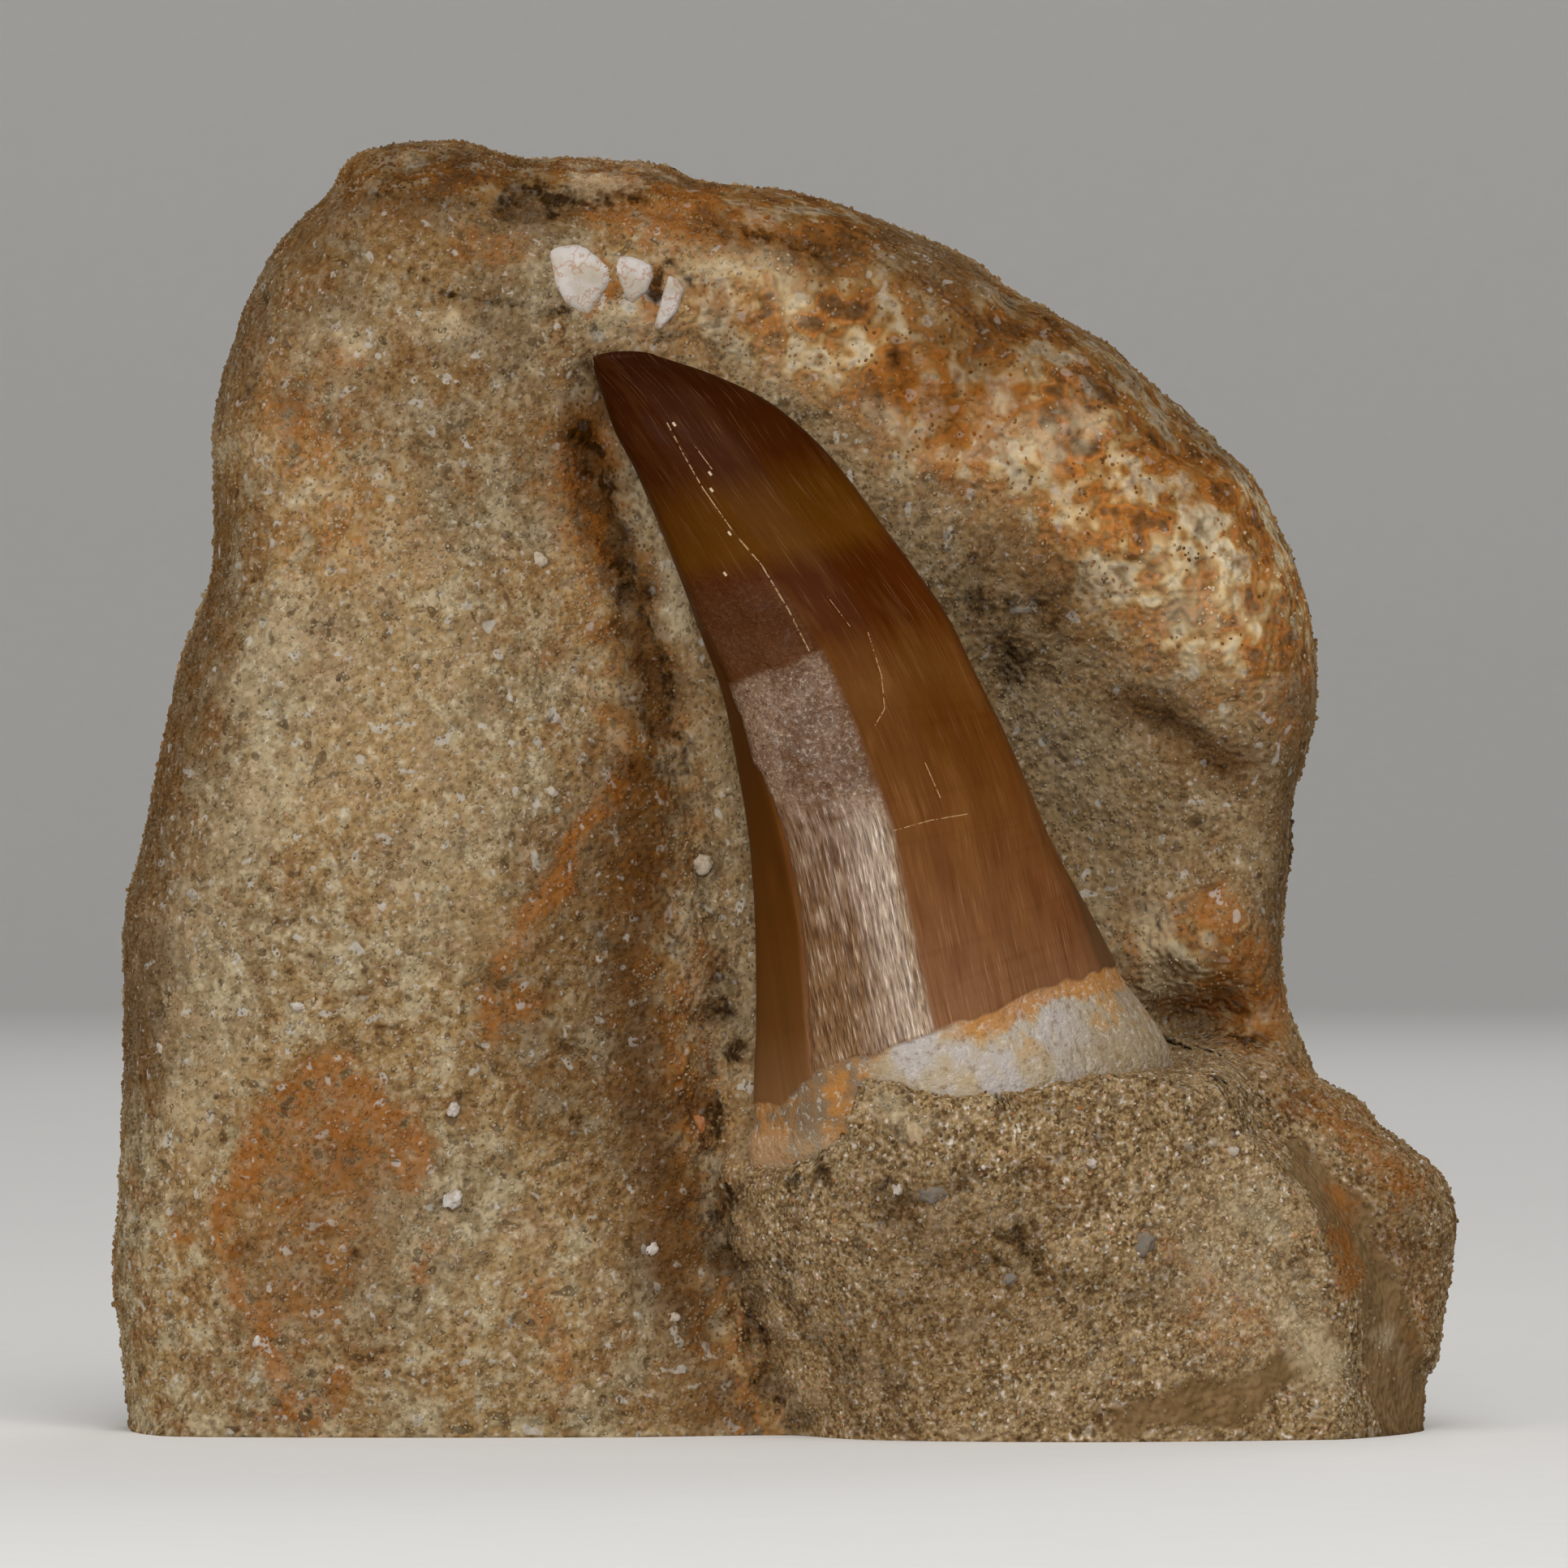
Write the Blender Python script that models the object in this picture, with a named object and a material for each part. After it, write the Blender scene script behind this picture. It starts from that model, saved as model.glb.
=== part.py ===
"""Fossil mosasaur tooth standing in relief on the sandstone block that it was found in.

Blender 4.5, metres, +Z up. The front of the block faces -Y and the block stands on its flat base at Z 0.
The origin is the middle of the base. "Relief" below is a surface's height towards the front, in metres.
"""

import math

import bmesh
import bpy
import numpy as np
from mathutils import Vector, noise

# Driving dimensions of the block
RIM_RELIEF = -0.003
BACK_RELIEF = -0.0238
BELOW_BASE = 0.008
HEART = (0.0, 0.035)
RIM_SHARPNESS = 7.0
FACE_SHARPNESS = 2.8
BLOCK_GRID = 110
BLOCK_TRIANGLES = 5500

# Outline of the block from the front, X and Z, clockwise from the foot of its left side
OUTLINE = (
    (-0.0443, 0.0000), (-0.0450, 0.0066), (-0.0455, 0.0110), (-0.0451, 0.0154), (-0.0447, 0.0254),
    (-0.0448, 0.0309), (-0.0446, 0.0353), (-0.0434, 0.0403), (-0.0420, 0.0469), (-0.0408, 0.0519),
    (-0.0389, 0.0574), (-0.0386, 0.0619), (-0.0386, 0.0690), (-0.0376, 0.0729), (-0.0358, 0.0784),
    (-0.0335, 0.0818), (-0.0310, 0.0840), (-0.0296, 0.0862), (-0.0274, 0.0872), (-0.0224, 0.0874),
    (-0.0180, 0.0863), (-0.0147, 0.0862), (-0.0086, 0.0858), (-0.0059, 0.0848), (0.0013, 0.0838),
    (0.0046, 0.0827), (0.0085, 0.0812), (0.0124, 0.0795), (0.0154, 0.0772), (0.0190, 0.0754),
    (0.0229, 0.0729), (0.0268, 0.0690), (0.0312, 0.0652), (0.0334, 0.0613), (0.0350, 0.0574),
    (0.0360, 0.0530), (0.0360, 0.0486), (0.0353, 0.0453), (0.0344, 0.0428), (0.0342, 0.0386),
    (0.0338, 0.0348), (0.0338, 0.0309), (0.0345, 0.0273), (0.0363, 0.0234), (0.0389, 0.0223),
    (0.0406, 0.0204), (0.0433, 0.0185), (0.0447, 0.0171), (0.0454, 0.0149), (0.0453, 0.0110),
    (0.0447, 0.0077), (0.0444, 0.0049), (0.0436, 0.0033), (0.0434, 0.0000),
)

# Lines on the front, X and Z: the furrow left of the tooth, and the lower mass's upper and right edges
FURROW = (
    (-0.0131, 0.0730), (-0.0126, 0.0659), (-0.0119, 0.0616), (-0.0101, 0.0572), (-0.0075, 0.0496),
    (-0.0057, 0.0420), (-0.0041, 0.0338), (-0.0040, 0.0257), (-0.0046, 0.0175), (-0.0020, 0.0072),
    (0.0018, 0.0000),
)
MASS_TOP = (
    (-0.0060, 0.0180), (-0.0003, 0.0186), (0.0020, 0.0193), (0.0039, 0.0211), (0.0045, 0.0235),
    (0.0053, 0.0250), (0.0068, 0.0250), (0.0087, 0.0240), (0.0124, 0.0237), (0.0167, 0.0243),
    (0.0204, 0.0249), (0.0260, 0.0250), (0.0315, 0.0254), (0.0358, 0.0236), (0.0480, 0.0200),
)
MASS_RIGHT = (
    (0.0300, 0.0260), (0.0319, 0.0205), (0.0346, 0.0184), (0.0378, 0.0146), (0.0400, 0.0103),
    (0.0413, 0.0055), (0.0420, -0.0080),
)

# Relief of the lower mass from left to right, at the root and at the base, each X and relief
MASS_ACROSS = (
    (-0.0080, 0.0090), (-0.0030, 0.0125), (0.0000, 0.0170), (0.0030, 0.0200), (0.0070, 0.0221),
    (0.0120, 0.0231), (0.0170, 0.0228), (0.0220, 0.0213), (0.0270, 0.0186), (0.0320, 0.0168),
    (0.0360, 0.0160), (0.0480, 0.0150),
)
MASS_FOOT = (
    (-0.0040, 0.0080), (0.0020, 0.0120), (0.0060, 0.0165), (0.0120, 0.0190), (0.0200, 0.0196),
    (0.0280, 0.0187), (0.0360, 0.0168), (0.0480, 0.0150),
)

# Broken faces at the back: the direction that each looks in, and its distance from the heart
BROKEN_FACES = (
    ((-0.80, 0.60, 0.05), 0.0385),
    ((0.62, 0.70, 0.35), 0.0335),
    ((-0.12, 0.72, 0.69), 0.0410),
    ((0.75, 0.66, -0.05), 0.0365),
    ((-0.55, 0.70, 0.45), 0.0380),
)

# The tooth's sections from root to tip: the left and the right edge, each X and Z
TOOTH_EDGES = (
    (0.0015, 0.0105, 0.0265, 0.0175),
    (-0.0027, 0.0177, 0.0264, 0.0256),
    (-0.0024, 0.0224, 0.0229, 0.0312),
    (-0.0022, 0.0274, 0.0204, 0.0358),
    (-0.0022, 0.0334, 0.0184, 0.0393),
    (-0.0025, 0.0393, 0.0167, 0.0431),
    (-0.0033, 0.0447, 0.0148, 0.0474),
    (-0.0042, 0.0495, 0.0128, 0.0514),
    (-0.0056, 0.0536, 0.0110, 0.0551),
    (-0.0072, 0.0579, 0.0087, 0.0584),
    (-0.0088, 0.0619, 0.0067, 0.0611),
    (-0.0102, 0.0651, 0.0045, 0.0641),
    (-0.0114, 0.0674, 0.0022, 0.0668),
    (-0.0121, 0.0695, -0.0009, 0.0694),
    (-0.0127, 0.0712, -0.0046, 0.0712),
    (-0.0128, 0.0722, -0.0085, 0.0725),
)
TOOTH_TIP = (-0.0112, 0.0728)
TOOTH_ROWS_PER_STATION = 2
EDGE_RELIEF_BASE = 0.0120
EDGE_RELIEF_TIP = 0.0105
FRONT_PER_WIDTH = ((0, 0.27), (1, 0.33), (2, 0.375), (5, 0.385), (15, 0.33))
BACK_PER_WIDTH = ((0, 0.28), (2, 0.36), (15, 0.30))
TIP_CAP = 0.0006
POCKET_GAP = 0.0003

# Bone chips let into the face above the tip: the corners of each, X and Z
CHIP_CORNERS = {
    "bone_chip_left": (
        (-0.0158, 0.0797), (-0.0136, 0.0800), (-0.0118, 0.0785), (-0.0117, 0.0775), (-0.0124, 0.0763),
        (-0.0131, 0.0753), (-0.0146, 0.0760), (-0.0153, 0.0774),
    ),
    "bone_chip_middle": (
        (-0.0113, 0.0784), (-0.0110, 0.0792), (-0.0100, 0.0791), (-0.0089, 0.0786), (-0.0088, 0.0777),
        (-0.0092, 0.0769), (-0.0102, 0.0760), (-0.0108, 0.0767),
    ),
    "bone_chip_right": (
        (-0.0078, 0.0779), (-0.0072, 0.0777), (-0.0067, 0.0770), (-0.0072, 0.0755), (-0.0083, 0.0743),
        (-0.0087, 0.0746),
    ),
}
CHIP_PROUD = 0.0003
CHIP_DEPTH = 0.0018

COLOURS = {
    "stone": (0.29, 0.20, 0.115, 1.0),
    "tooth": (0.13, 0.045, 0.012, 1.0),
    "bone": (0.55, 0.48, 0.40, 1.0),
}


def collection(name):
    made = bpy.data.collections.new(name)
    bpy.context.scene.collection.children.link(made)
    return made


def material(name, roughness):
    made = bpy.data.materials.new(name)
    made.use_nodes = True
    shader = made.node_tree.nodes["Principled BSDF"]
    shader.inputs["Base Color"].default_value = COLOURS[name]
    shader.inputs["Roughness"].default_value = roughness
    shader.inputs["Metallic"].default_value = 0.0
    return made


def smooth_step(low, high, value):
    share = np.clip((value - low) / (high - low), 0.0, 1.0)
    return share * share * (3.0 - 2.0 * share)


def bump(x, z, at_x, at_z, size_x, size_z, height, turn=0.0):
    """A round hill of that height, size_x and size_z across at 1/e, turned by so many degrees."""
    c, s = math.cos(math.radians(turn)), math.sin(math.radians(turn))
    along = ((x - at_x) * c + (z - at_z) * s) / size_x
    across = ((z - at_z) * c - (x - at_x) * s) / size_z
    return height * np.exp(-along * along - across * across)


def spline(points, steps, closed=False):
    """Catmull-Rom curve through the points, with so many steps to each span."""
    p = np.array(points, float)
    if closed:
        before, after, last = np.roll(p, 1, 0), np.roll(p, -1, 0), np.roll(p, -2, 0)
    else:
        before = np.vstack([2 * p[0] - p[1], p[:-2]])
        after, last = p[1:], np.vstack([p[2:], 2 * p[-1] - p[-2]])
        p = p[:-1]
    made = []
    for a, b, c, d in zip(before, p, after, last):
        for t in np.arange(steps) / steps:
            made.append(0.5 * (2 * b + (c - a) * t + (2 * a - 5 * b + 4 * c - d) * t**2
                               + (3 * b - a - 3 * c + d) * t**3))
    if not closed:
        made.append(np.array(points[-1], float))
    return np.array(made)


def noise_at(points, size, shift):
    """Perlin noise at each point, from about -1 to 1, with lumps of that size."""
    return np.array([noise.noise(Vector(p) / size + Vector((shift, 0.0, 0.0))) for p in points])


def line_x(line, z):
    """X of a line that runs down the face, at each Z."""
    points = np.array(sorted(line, key=lambda p: p[1]))
    return np.interp(z, points[:, 1], points[:, 0])


def line_z(line, x):
    """Z of a line that runs across the face, at each X."""
    points = np.array(line)
    return np.interp(x, points[:, 0], points[:, 1])


def curve(stops, at):
    """A smooth curve through the stops, read at each place."""
    line = spline(stops, 10)
    return np.interp(at, line[:, 0], line[:, 1])


def slab(x, z):
    """The large smooth face left of the furrow."""
    relief = 0.0118 + 0.0 * x
    relief += bump(x, z, -0.024, 0.034, 0.016, 0.030, 0.0022)
    relief += bump(x, z, -0.030, 0.072, 0.012, 0.012, -0.0012)
    relief += bump(x, z, -0.014, 0.070, 0.008, 0.010, 0.0008)
    return relief


def hollow(x, z):
    """The worn hollow behind the tooth and the rounded rim that closes it at the upper right."""
    relief = 0.0092 + 0.0 * x
    relief += bump(x, z, 0.019, 0.040, 0.0125, 0.0150, -0.0082, 35.0)
    relief += bump(x, z, 0.026, 0.061, 0.0090, 0.0120, 0.0026, 30.0)
    relief += bump(x, z, 0.0285, 0.0275, 0.0055, 0.0030, -0.0080)
    relief += bump(x, z, 0.0270, 0.0468, 0.0055, 0.0012, -0.0012, -28.0)
    relief += bump(x, z, 0.0145, 0.0512, 0.0014, 0.0022, -0.0014)
    relief += bump(x, z, 0.0290, 0.0335, 0.0040, 0.0040, 0.0020)
    relief += bump(x, z, 0.006, 0.078, 0.0100, 0.0045, 0.0010, -15.0)
    return relief


def lower_mass(x, z):
    """The bulging mass that holds the root, with a lower ledge beyond its steep right flank."""
    up = smooth_step(0.0, 0.020, z)
    relief = curve(MASS_FOOT, x) * (1 - up) + curve(MASS_ACROSS, x) * up
    relief += bump(x, z, 0.010, 0.010, 0.006, 0.0022, -0.0007, 25.0)
    relief += bump(x, z, 0.024, 0.012, 0.0050, 0.0040, 0.0007)
    relief += bump(x, z, 0.003, 0.0145, 0.0040, 0.0030, 0.0006)
    ledge = 0.0092 + bump(x, z, 0.042, 0.017, 0.004, 0.005, 0.0012)
    flank = np.interp(z, (0.0, 0.020), (0.0052, 0.0020))
    past = smooth_step(-flank, 0.0012, x - line_x(MASS_RIGHT, z))
    return relief * (1 - past) + ledge * past


def tooth_edge_x(z, column):
    """X of the tooth's left (column 0) or right (column 2) edge, at each Z."""
    edges = np.array(TOOTH_EDGES)
    return np.interp(z, edges[:, column + 1], edges[:, column])


def seat(x, z, ground):
    """Raises the ground under the tooth's left flank to a narrow lip that carries it, up to the tip."""
    from_left = x - tooth_edge_x(z, 0)
    height = np.interp(z, (0.016, 0.030, 0.050, 0.068, 0.074), (0.0105, 0.0088, 0.0088, 0.0098, 0.0102))
    near = smooth_step(-0.0040, -0.0010, from_left) * (1 - smooth_step(0.004, 0.013, from_left))
    near = near * (1 - smooth_step(0.0735, 0.0775, z))
    return ground * (1 - near) + np.maximum(ground, height) * near


def front_relief(x, z):
    """Relief of the block's front face."""
    mass_edge = line_z(MASS_TOP, x)
    step = np.interp(x, (-0.006, -0.002, 0.025, 0.031), (0.0020, 0.0010, 0.0011, 0.0030))
    right = seat(x, z, hollow(x, z))
    into_mass = 1 - smooth_step(-step, step, z - mass_edge)
    right = right * (1 - into_mass) + lower_mass(x, z) * into_mass
    from_furrow = x - line_x(FURROW, z)
    open_end = 1 - smooth_step(0.070, 0.080, z)
    side = smooth_step(-0.0034, 0.0010, from_furrow) * open_end + smooth_step(-0.006, 0.010, x) * (1 - open_end)
    shoulder = 0.0034 * smooth_step(-0.0135, -0.0010, from_furrow) * open_end
    relief = (slab(x, z) - shoulder) * (1 - side) + right * side
    depth = np.interp(z, (0.0, 0.010, 0.020, 0.045, 0.066, 0.073), (0.0014, 0.0022, 0.0020, 0.0015, 0.0016, 0.0))
    relief -= depth * np.exp(-((from_furrow + 0.0004) / 0.0013) ** 2)
    relief += bump(x, z, -0.0115, 0.0825, 0.0060, 0.0010, -0.0016, -3.0)
    relief += bump(x, z, -0.0270, 0.0825, 0.0045, 0.0020, 0.0008)
    return relief


def back_relief(x, z):
    """Relief of the block's broken back: three blunt faces that meet in soft ridges."""
    faces = (
        BACK_RELIEF + 0.10 * (x + 0.010),
        BACK_RELIEF - 0.0010 - 0.16 * (x - 0.008),
        BACK_RELIEF - 0.0020 + 0.14 * (z - 0.030),
    )
    sharpness = 900.0
    return np.log(sum(np.exp(sharpness * face) for face in faces)) / sharpness


def rim_reach(x, z):
    """How far the outline lies from the heart in the direction of each place, as X and Z."""
    below = ((0.0428, -BELOW_BASE), (0.0, -BELOW_BASE - 0.001), (-0.0438, -BELOW_BASE))
    rim = spline(OUTLINE + below, 12, closed=True)[::-1]
    bearing = np.unwrap(np.arctan2(rim[:, 1] - HEART[1], rim[:, 0] - HEART[0]))
    rim = np.vstack([rim[-1:], rim, rim[:1]])
    bearing = np.concatenate([bearing[-1:] - 2 * math.pi, bearing, bearing[:1] + 2 * math.pi])
    around = bearing[1] + np.mod(np.arctan2(z, x) - bearing[1], 2 * math.pi)
    return [np.interp(around, bearing, rim[:, k]) - HEART[k] for k in (0, 1)]


def profile():
    """The block's round-shouldered cut from front to back: its turn, share of the reach and of the height."""
    turn = np.linspace(0.0, math.pi, 721)
    out = np.abs(np.sin(turn)) ** (2 / RIM_SHARPNESS)
    up = np.sign(np.cos(turn)) * np.abs(np.cos(turn)) ** (2 / FACE_SHARPNESS)
    return turn, out, up


def put_on_block(x, z, upward):
    """Points of the block's surface at X and Z; upward is 1 on the front face, 0 at the rim, -1 behind."""
    face = np.where(upward > 0, front_relief(x, z), back_relief(x, z))
    points = np.column_stack([x, -(RIM_RELIEF + (face - RIM_RELIEF) * np.abs(upward)), z])
    heart = np.array((HEART[0], 0.0, HEART[1]))
    for normal, distance in BROKEN_FACES:
        normal = np.array(normal) / np.linalg.norm(normal)
        beyond = np.clip((points - heart) @ normal - distance, 0.0, None)
        points -= 0.93 * beyond[:, None] * normal
    behind = smooth_step(0.15, -0.35, upward)
    rough = 0.32 + 0.68 * behind
    points[:, 1] += rough * (0.0011 * noise_at(points, 0.015, 3.0) + 0.0005 * noise_at(points, 0.006, 7.0))
    sideways = 0.0009 * noise_at(points, 0.009, 11.0) * behind
    points[:, 0] += sideways * np.sign(points[:, 0]) * smooth_step(0.0, 0.02, np.abs(points[:, 0]))
    points[:, 2] += sideways
    return points


def block_points(directions):
    """Places each point of a unit ball on the block's surface."""
    reach_x, reach_z = rim_reach(directions[:, 0], directions[:, 2])
    turn, out, up = profile()
    half_width, half_depth = 0.042, 0.017
    steps = np.hypot(np.diff(out * half_width), np.diff(up * half_depth))
    length = np.concatenate([[0.0], np.cumsum(steps)]) / steps.sum()
    down = np.arccos(np.clip(-directions[:, 1], -1.0, 1.0)) / math.pi
    outward, upward = np.interp(down, length, out), np.interp(down, length, up)
    return put_on_block(HEART[0] + reach_x * outward, HEART[1] + reach_z * outward, upward)


def front_point(x, z):
    """Points of the block's front face at X and Z."""
    reach_x, reach_z = rim_reach(x - HEART[0], z - HEART[1])
    outward = np.hypot(x - HEART[0], z - HEART[1]) / np.hypot(reach_x, reach_z)
    turn, out, up = profile()
    return put_on_block(x, z, np.interp(outward, out[:361], up[:361]))


def ball(grid):
    """Unit ball of even quads, from a cube whose sides are cut into grid strips."""
    mesh = bmesh.new()
    bmesh.ops.create_cube(mesh, size=2.0)
    bmesh.ops.subdivide_edges(mesh, edges=mesh.edges[:], cuts=grid - 1, use_grid_fill=True)
    for vert in mesh.verts:
        vert.co = [math.tan(c * math.pi / 4) for c in vert.co]
        vert.co.normalize()
    return mesh


def new_object(name, mesh, home, finish=None):
    data = bpy.data.meshes.new(name)
    mesh.to_mesh(data)
    mesh.free()
    made = bpy.data.objects.new(name, data)
    home.objects.link(made)
    if finish:
        data.materials.append(finish)
        data.shade_smooth()
        data.set_sharp_from_angle(angle=math.radians(40))
    return made


def as_cutter(made):
    made.hide_render = True
    made.display_type = "WIRE"
    return made


def cut(target, cutter, name):
    modifier = target.modifiers.new(name, "BOOLEAN")
    modifier.operation = "DIFFERENCE"
    modifier.solver = "EXACT"
    modifier.object = cutter


def tooth_section(station, grow):
    """One ring of the tooth: facets between a carina at each edge, three ridges in front, a round back."""
    edges = spline(TOOTH_EDGES, 20)
    place = np.clip(station, 0, len(TOOTH_EDGES) - 1) * 20
    row = np.array([np.interp(place, np.arange(len(edges)), edges[:, k]) for k in range(4)])
    left, right = row[:2], row[2:]
    across = right - left
    width = np.linalg.norm(across)
    end = len(TOOTH_EDGES) - 1
    share = station / end
    level = EDGE_RELIEF_BASE + (EDGE_RELIEF_TIP - EDGE_RELIEF_BASE) * share
    front = width * np.interp(station, *zip(*FRONT_PER_WIDTH))
    back = width * np.interp(station, *zip(*BACK_PER_WIDTH))

    first = np.interp(station, (2, 4, 6, 8, end), (0.155, 0.145, 0.085, 0.03, 0.02))
    second = np.interp(station, (2, 5, 8, 11, end), (0.50, 0.505, 0.44, 0.31, 0.24))
    third = np.interp(station, (2, 4, 6, end), (0.93, 0.955, 0.985, 0.985))
    outline = (
        (0.0, 0.0),
        (first, 0.62 if station < 7 else 0.5),
        (0.5 * (first + second), 0.90),
        (second, 1.0),
        (0.5 * (second + third), 0.86),
        (third, 0.42),
        (1.0, 0.0),
        (0.93, -0.62),
        (0.66, -0.97),
        (0.34, -0.97),
        (0.07, -0.62),
    )
    ring = np.array(outline)
    for _ in range(2):
        after = np.roll(ring, -1, 0)
        ring = np.stack([0.82 * ring + 0.18 * after, 0.18 * ring + 0.82 * after], 1).reshape(-1, 2)
    flat = left + ring[:, :1] * across
    height = np.where(ring[:, 1] > 0, ring[:, 1] * front, ring[:, 1] * back) + level
    points = np.column_stack([flat[:, 0], -height, flat[:, 1]])
    if grow:
        middle = points.mean(0)
        outward = points - middle
        points = middle + outward * (1 + grow / np.linalg.norm(outward, axis=1, keepdims=True))
    return points


def tooth_mesh(grow=0.0):
    """The tooth lofted through its sections; grow makes it fatter all round, for the pocket."""
    end = len(TOOTH_EDGES) - 1
    stations = np.linspace(0, end, end * TOOTH_ROWS_PER_STATION + 1)
    mesh = bmesh.new()
    rings = [[mesh.verts.new(p) for p in tooth_section(s, grow)] for s in stations]
    for low, high in zip(rings, rings[1:]):
        count = len(low)
        for i in range(count):
            mesh.faces.new((low[i], low[(i + 1) % count], high[(i + 1) % count], high[i]))
    root = mesh.verts.new(np.mean([v.co for v in rings[0]], axis=0) - np.array((0.0, 0.0, grow)))
    tip = mesh.verts.new((TOOTH_TIP[0], -EDGE_RELIEF_TIP - TIP_CAP, TOOTH_TIP[1] + grow))
    for ring, end_point, turned in ((rings[0], root, True), (rings[-1], tip, False)):
        for a, b in zip(ring, ring[1:] + ring[:1]):
            mesh.faces.new((b, a, end_point) if turned else (a, b, end_point))
    bmesh.ops.recalc_face_normals(mesh, faces=mesh.faces[:])
    return mesh


def chip_mesh(corners, grow=0.0):
    """A flat splinter of bone that follows the face, with its corners worn round."""
    ring = np.array(corners)
    after = np.roll(ring, -1, 0)
    ring = np.stack([0.8 * ring + 0.2 * after, 0.2 * ring + 0.8 * after], 1).reshape(-1, 2)
    middle = ring.mean(0)
    outward = ring - middle
    ring = middle + outward * (1 + grow / np.linalg.norm(outward, axis=1, keepdims=True))
    ground = front_point(ring[:, 0], ring[:, 1])
    mesh = bmesh.new()
    top = [mesh.verts.new((x, y - CHIP_PROUD - 3 * grow, z)) for x, y, z in ground]
    foot = [mesh.verts.new((x, y + CHIP_DEPTH + grow, z)) for x, y, z in ground]
    mesh.faces.new(top)
    mesh.faces.new(foot[::-1])
    for i in range(len(top)):
        j = (i + 1) % len(top)
        mesh.faces.new((top[j], top[i], foot[i], foot[j]))
    bmesh.ops.recalc_face_normals(mesh, faces=mesh.faces[:])
    return mesh


def base_cutter(home):
    """A box over everything below the base."""
    mesh = bmesh.new()
    bmesh.ops.create_cube(mesh, size=1.0)
    width, depth, height = 0.14, 0.12, 0.03
    for vert in mesh.verts:
        vert.co = (vert.co.x * width, vert.co.y * depth, (vert.co.z - 0.5) * height)
    return as_cutter(new_object("below_base", mesh, home))


def block(home, cutters):
    mesh = ball(BLOCK_GRID)
    directions = np.array([v.co for v in mesh.verts])
    for vert, place in zip(mesh.verts, block_points(directions)):
        vert.co = place
    bmesh.ops.triangulate(mesh, faces=mesh.faces[:])
    bmesh.ops.recalc_face_normals(mesh, faces=mesh.faces[:])
    triangles = len(mesh.faces)
    made = new_object("stone_matrix", mesh, home, material("stone", 0.9))
    thin = made.modifiers.new("fewer_faces", "DECIMATE")
    thin.ratio = BLOCK_TRIANGLES / triangles
    for cutter in cutters:
        cut(made, cutter, "cut_" + cutter.name)
    return made


def main():
    for old in list(bpy.data.objects):
        bpy.data.objects.remove(old)
    home = collection("fossil_tooth_in_matrix")
    tools = collection("cutters")
    new_object("tooth", tooth_mesh(), home, material("tooth", 0.3))
    cutters = [base_cutter(tools), as_cutter(new_object("tooth_pocket", tooth_mesh(POCKET_GAP), tools))]
    bone = material("bone", 0.6)
    for name, corners in CHIP_CORNERS.items():
        new_object(name, chip_mesh(corners), home, bone)
        cutters.append(as_cutter(new_object(name + "_pocket", chip_mesh(corners, POCKET_GAP), tools)))
    block(home, cutters)


main()
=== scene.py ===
"""Dresses a fossil tooth and the sandstone block that it stands in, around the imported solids.

Lengths are in metres, +Z is up and the front looks towards -Y. "Relief" is a surface's height towards the front.
"""

import math

import bmesh
import bpy
import numpy as np
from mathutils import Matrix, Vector, noise


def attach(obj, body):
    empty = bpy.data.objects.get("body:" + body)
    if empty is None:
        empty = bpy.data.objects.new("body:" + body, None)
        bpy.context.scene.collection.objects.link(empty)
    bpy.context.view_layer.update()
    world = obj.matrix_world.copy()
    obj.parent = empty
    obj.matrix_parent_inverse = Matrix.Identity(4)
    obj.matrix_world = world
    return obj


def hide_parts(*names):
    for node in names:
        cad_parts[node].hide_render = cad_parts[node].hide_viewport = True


bl_info = {
    "name": "Fossil tooth in its stone",
    "version": (1, 0, 0),
    "blender": (4, 5, 0),
    "location": "3D View > Sidebar > Fossil",
    "description": "Makes a mosasaur tooth on its sandstone block, with sand grains, bone chips and a studio",
    "category": "Add Mesh",
}

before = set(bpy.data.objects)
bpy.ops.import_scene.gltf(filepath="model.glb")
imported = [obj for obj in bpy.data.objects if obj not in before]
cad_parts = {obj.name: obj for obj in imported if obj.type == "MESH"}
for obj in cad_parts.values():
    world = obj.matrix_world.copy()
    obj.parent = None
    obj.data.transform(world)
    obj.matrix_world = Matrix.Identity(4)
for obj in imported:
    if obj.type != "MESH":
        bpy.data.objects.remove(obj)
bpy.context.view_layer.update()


def mm(*rows):
    """Rows of lengths given in millimetres, as rows of metres."""
    return tuple(tuple(round(value / 1000, 7) for value in row) for row in rows)


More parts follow.
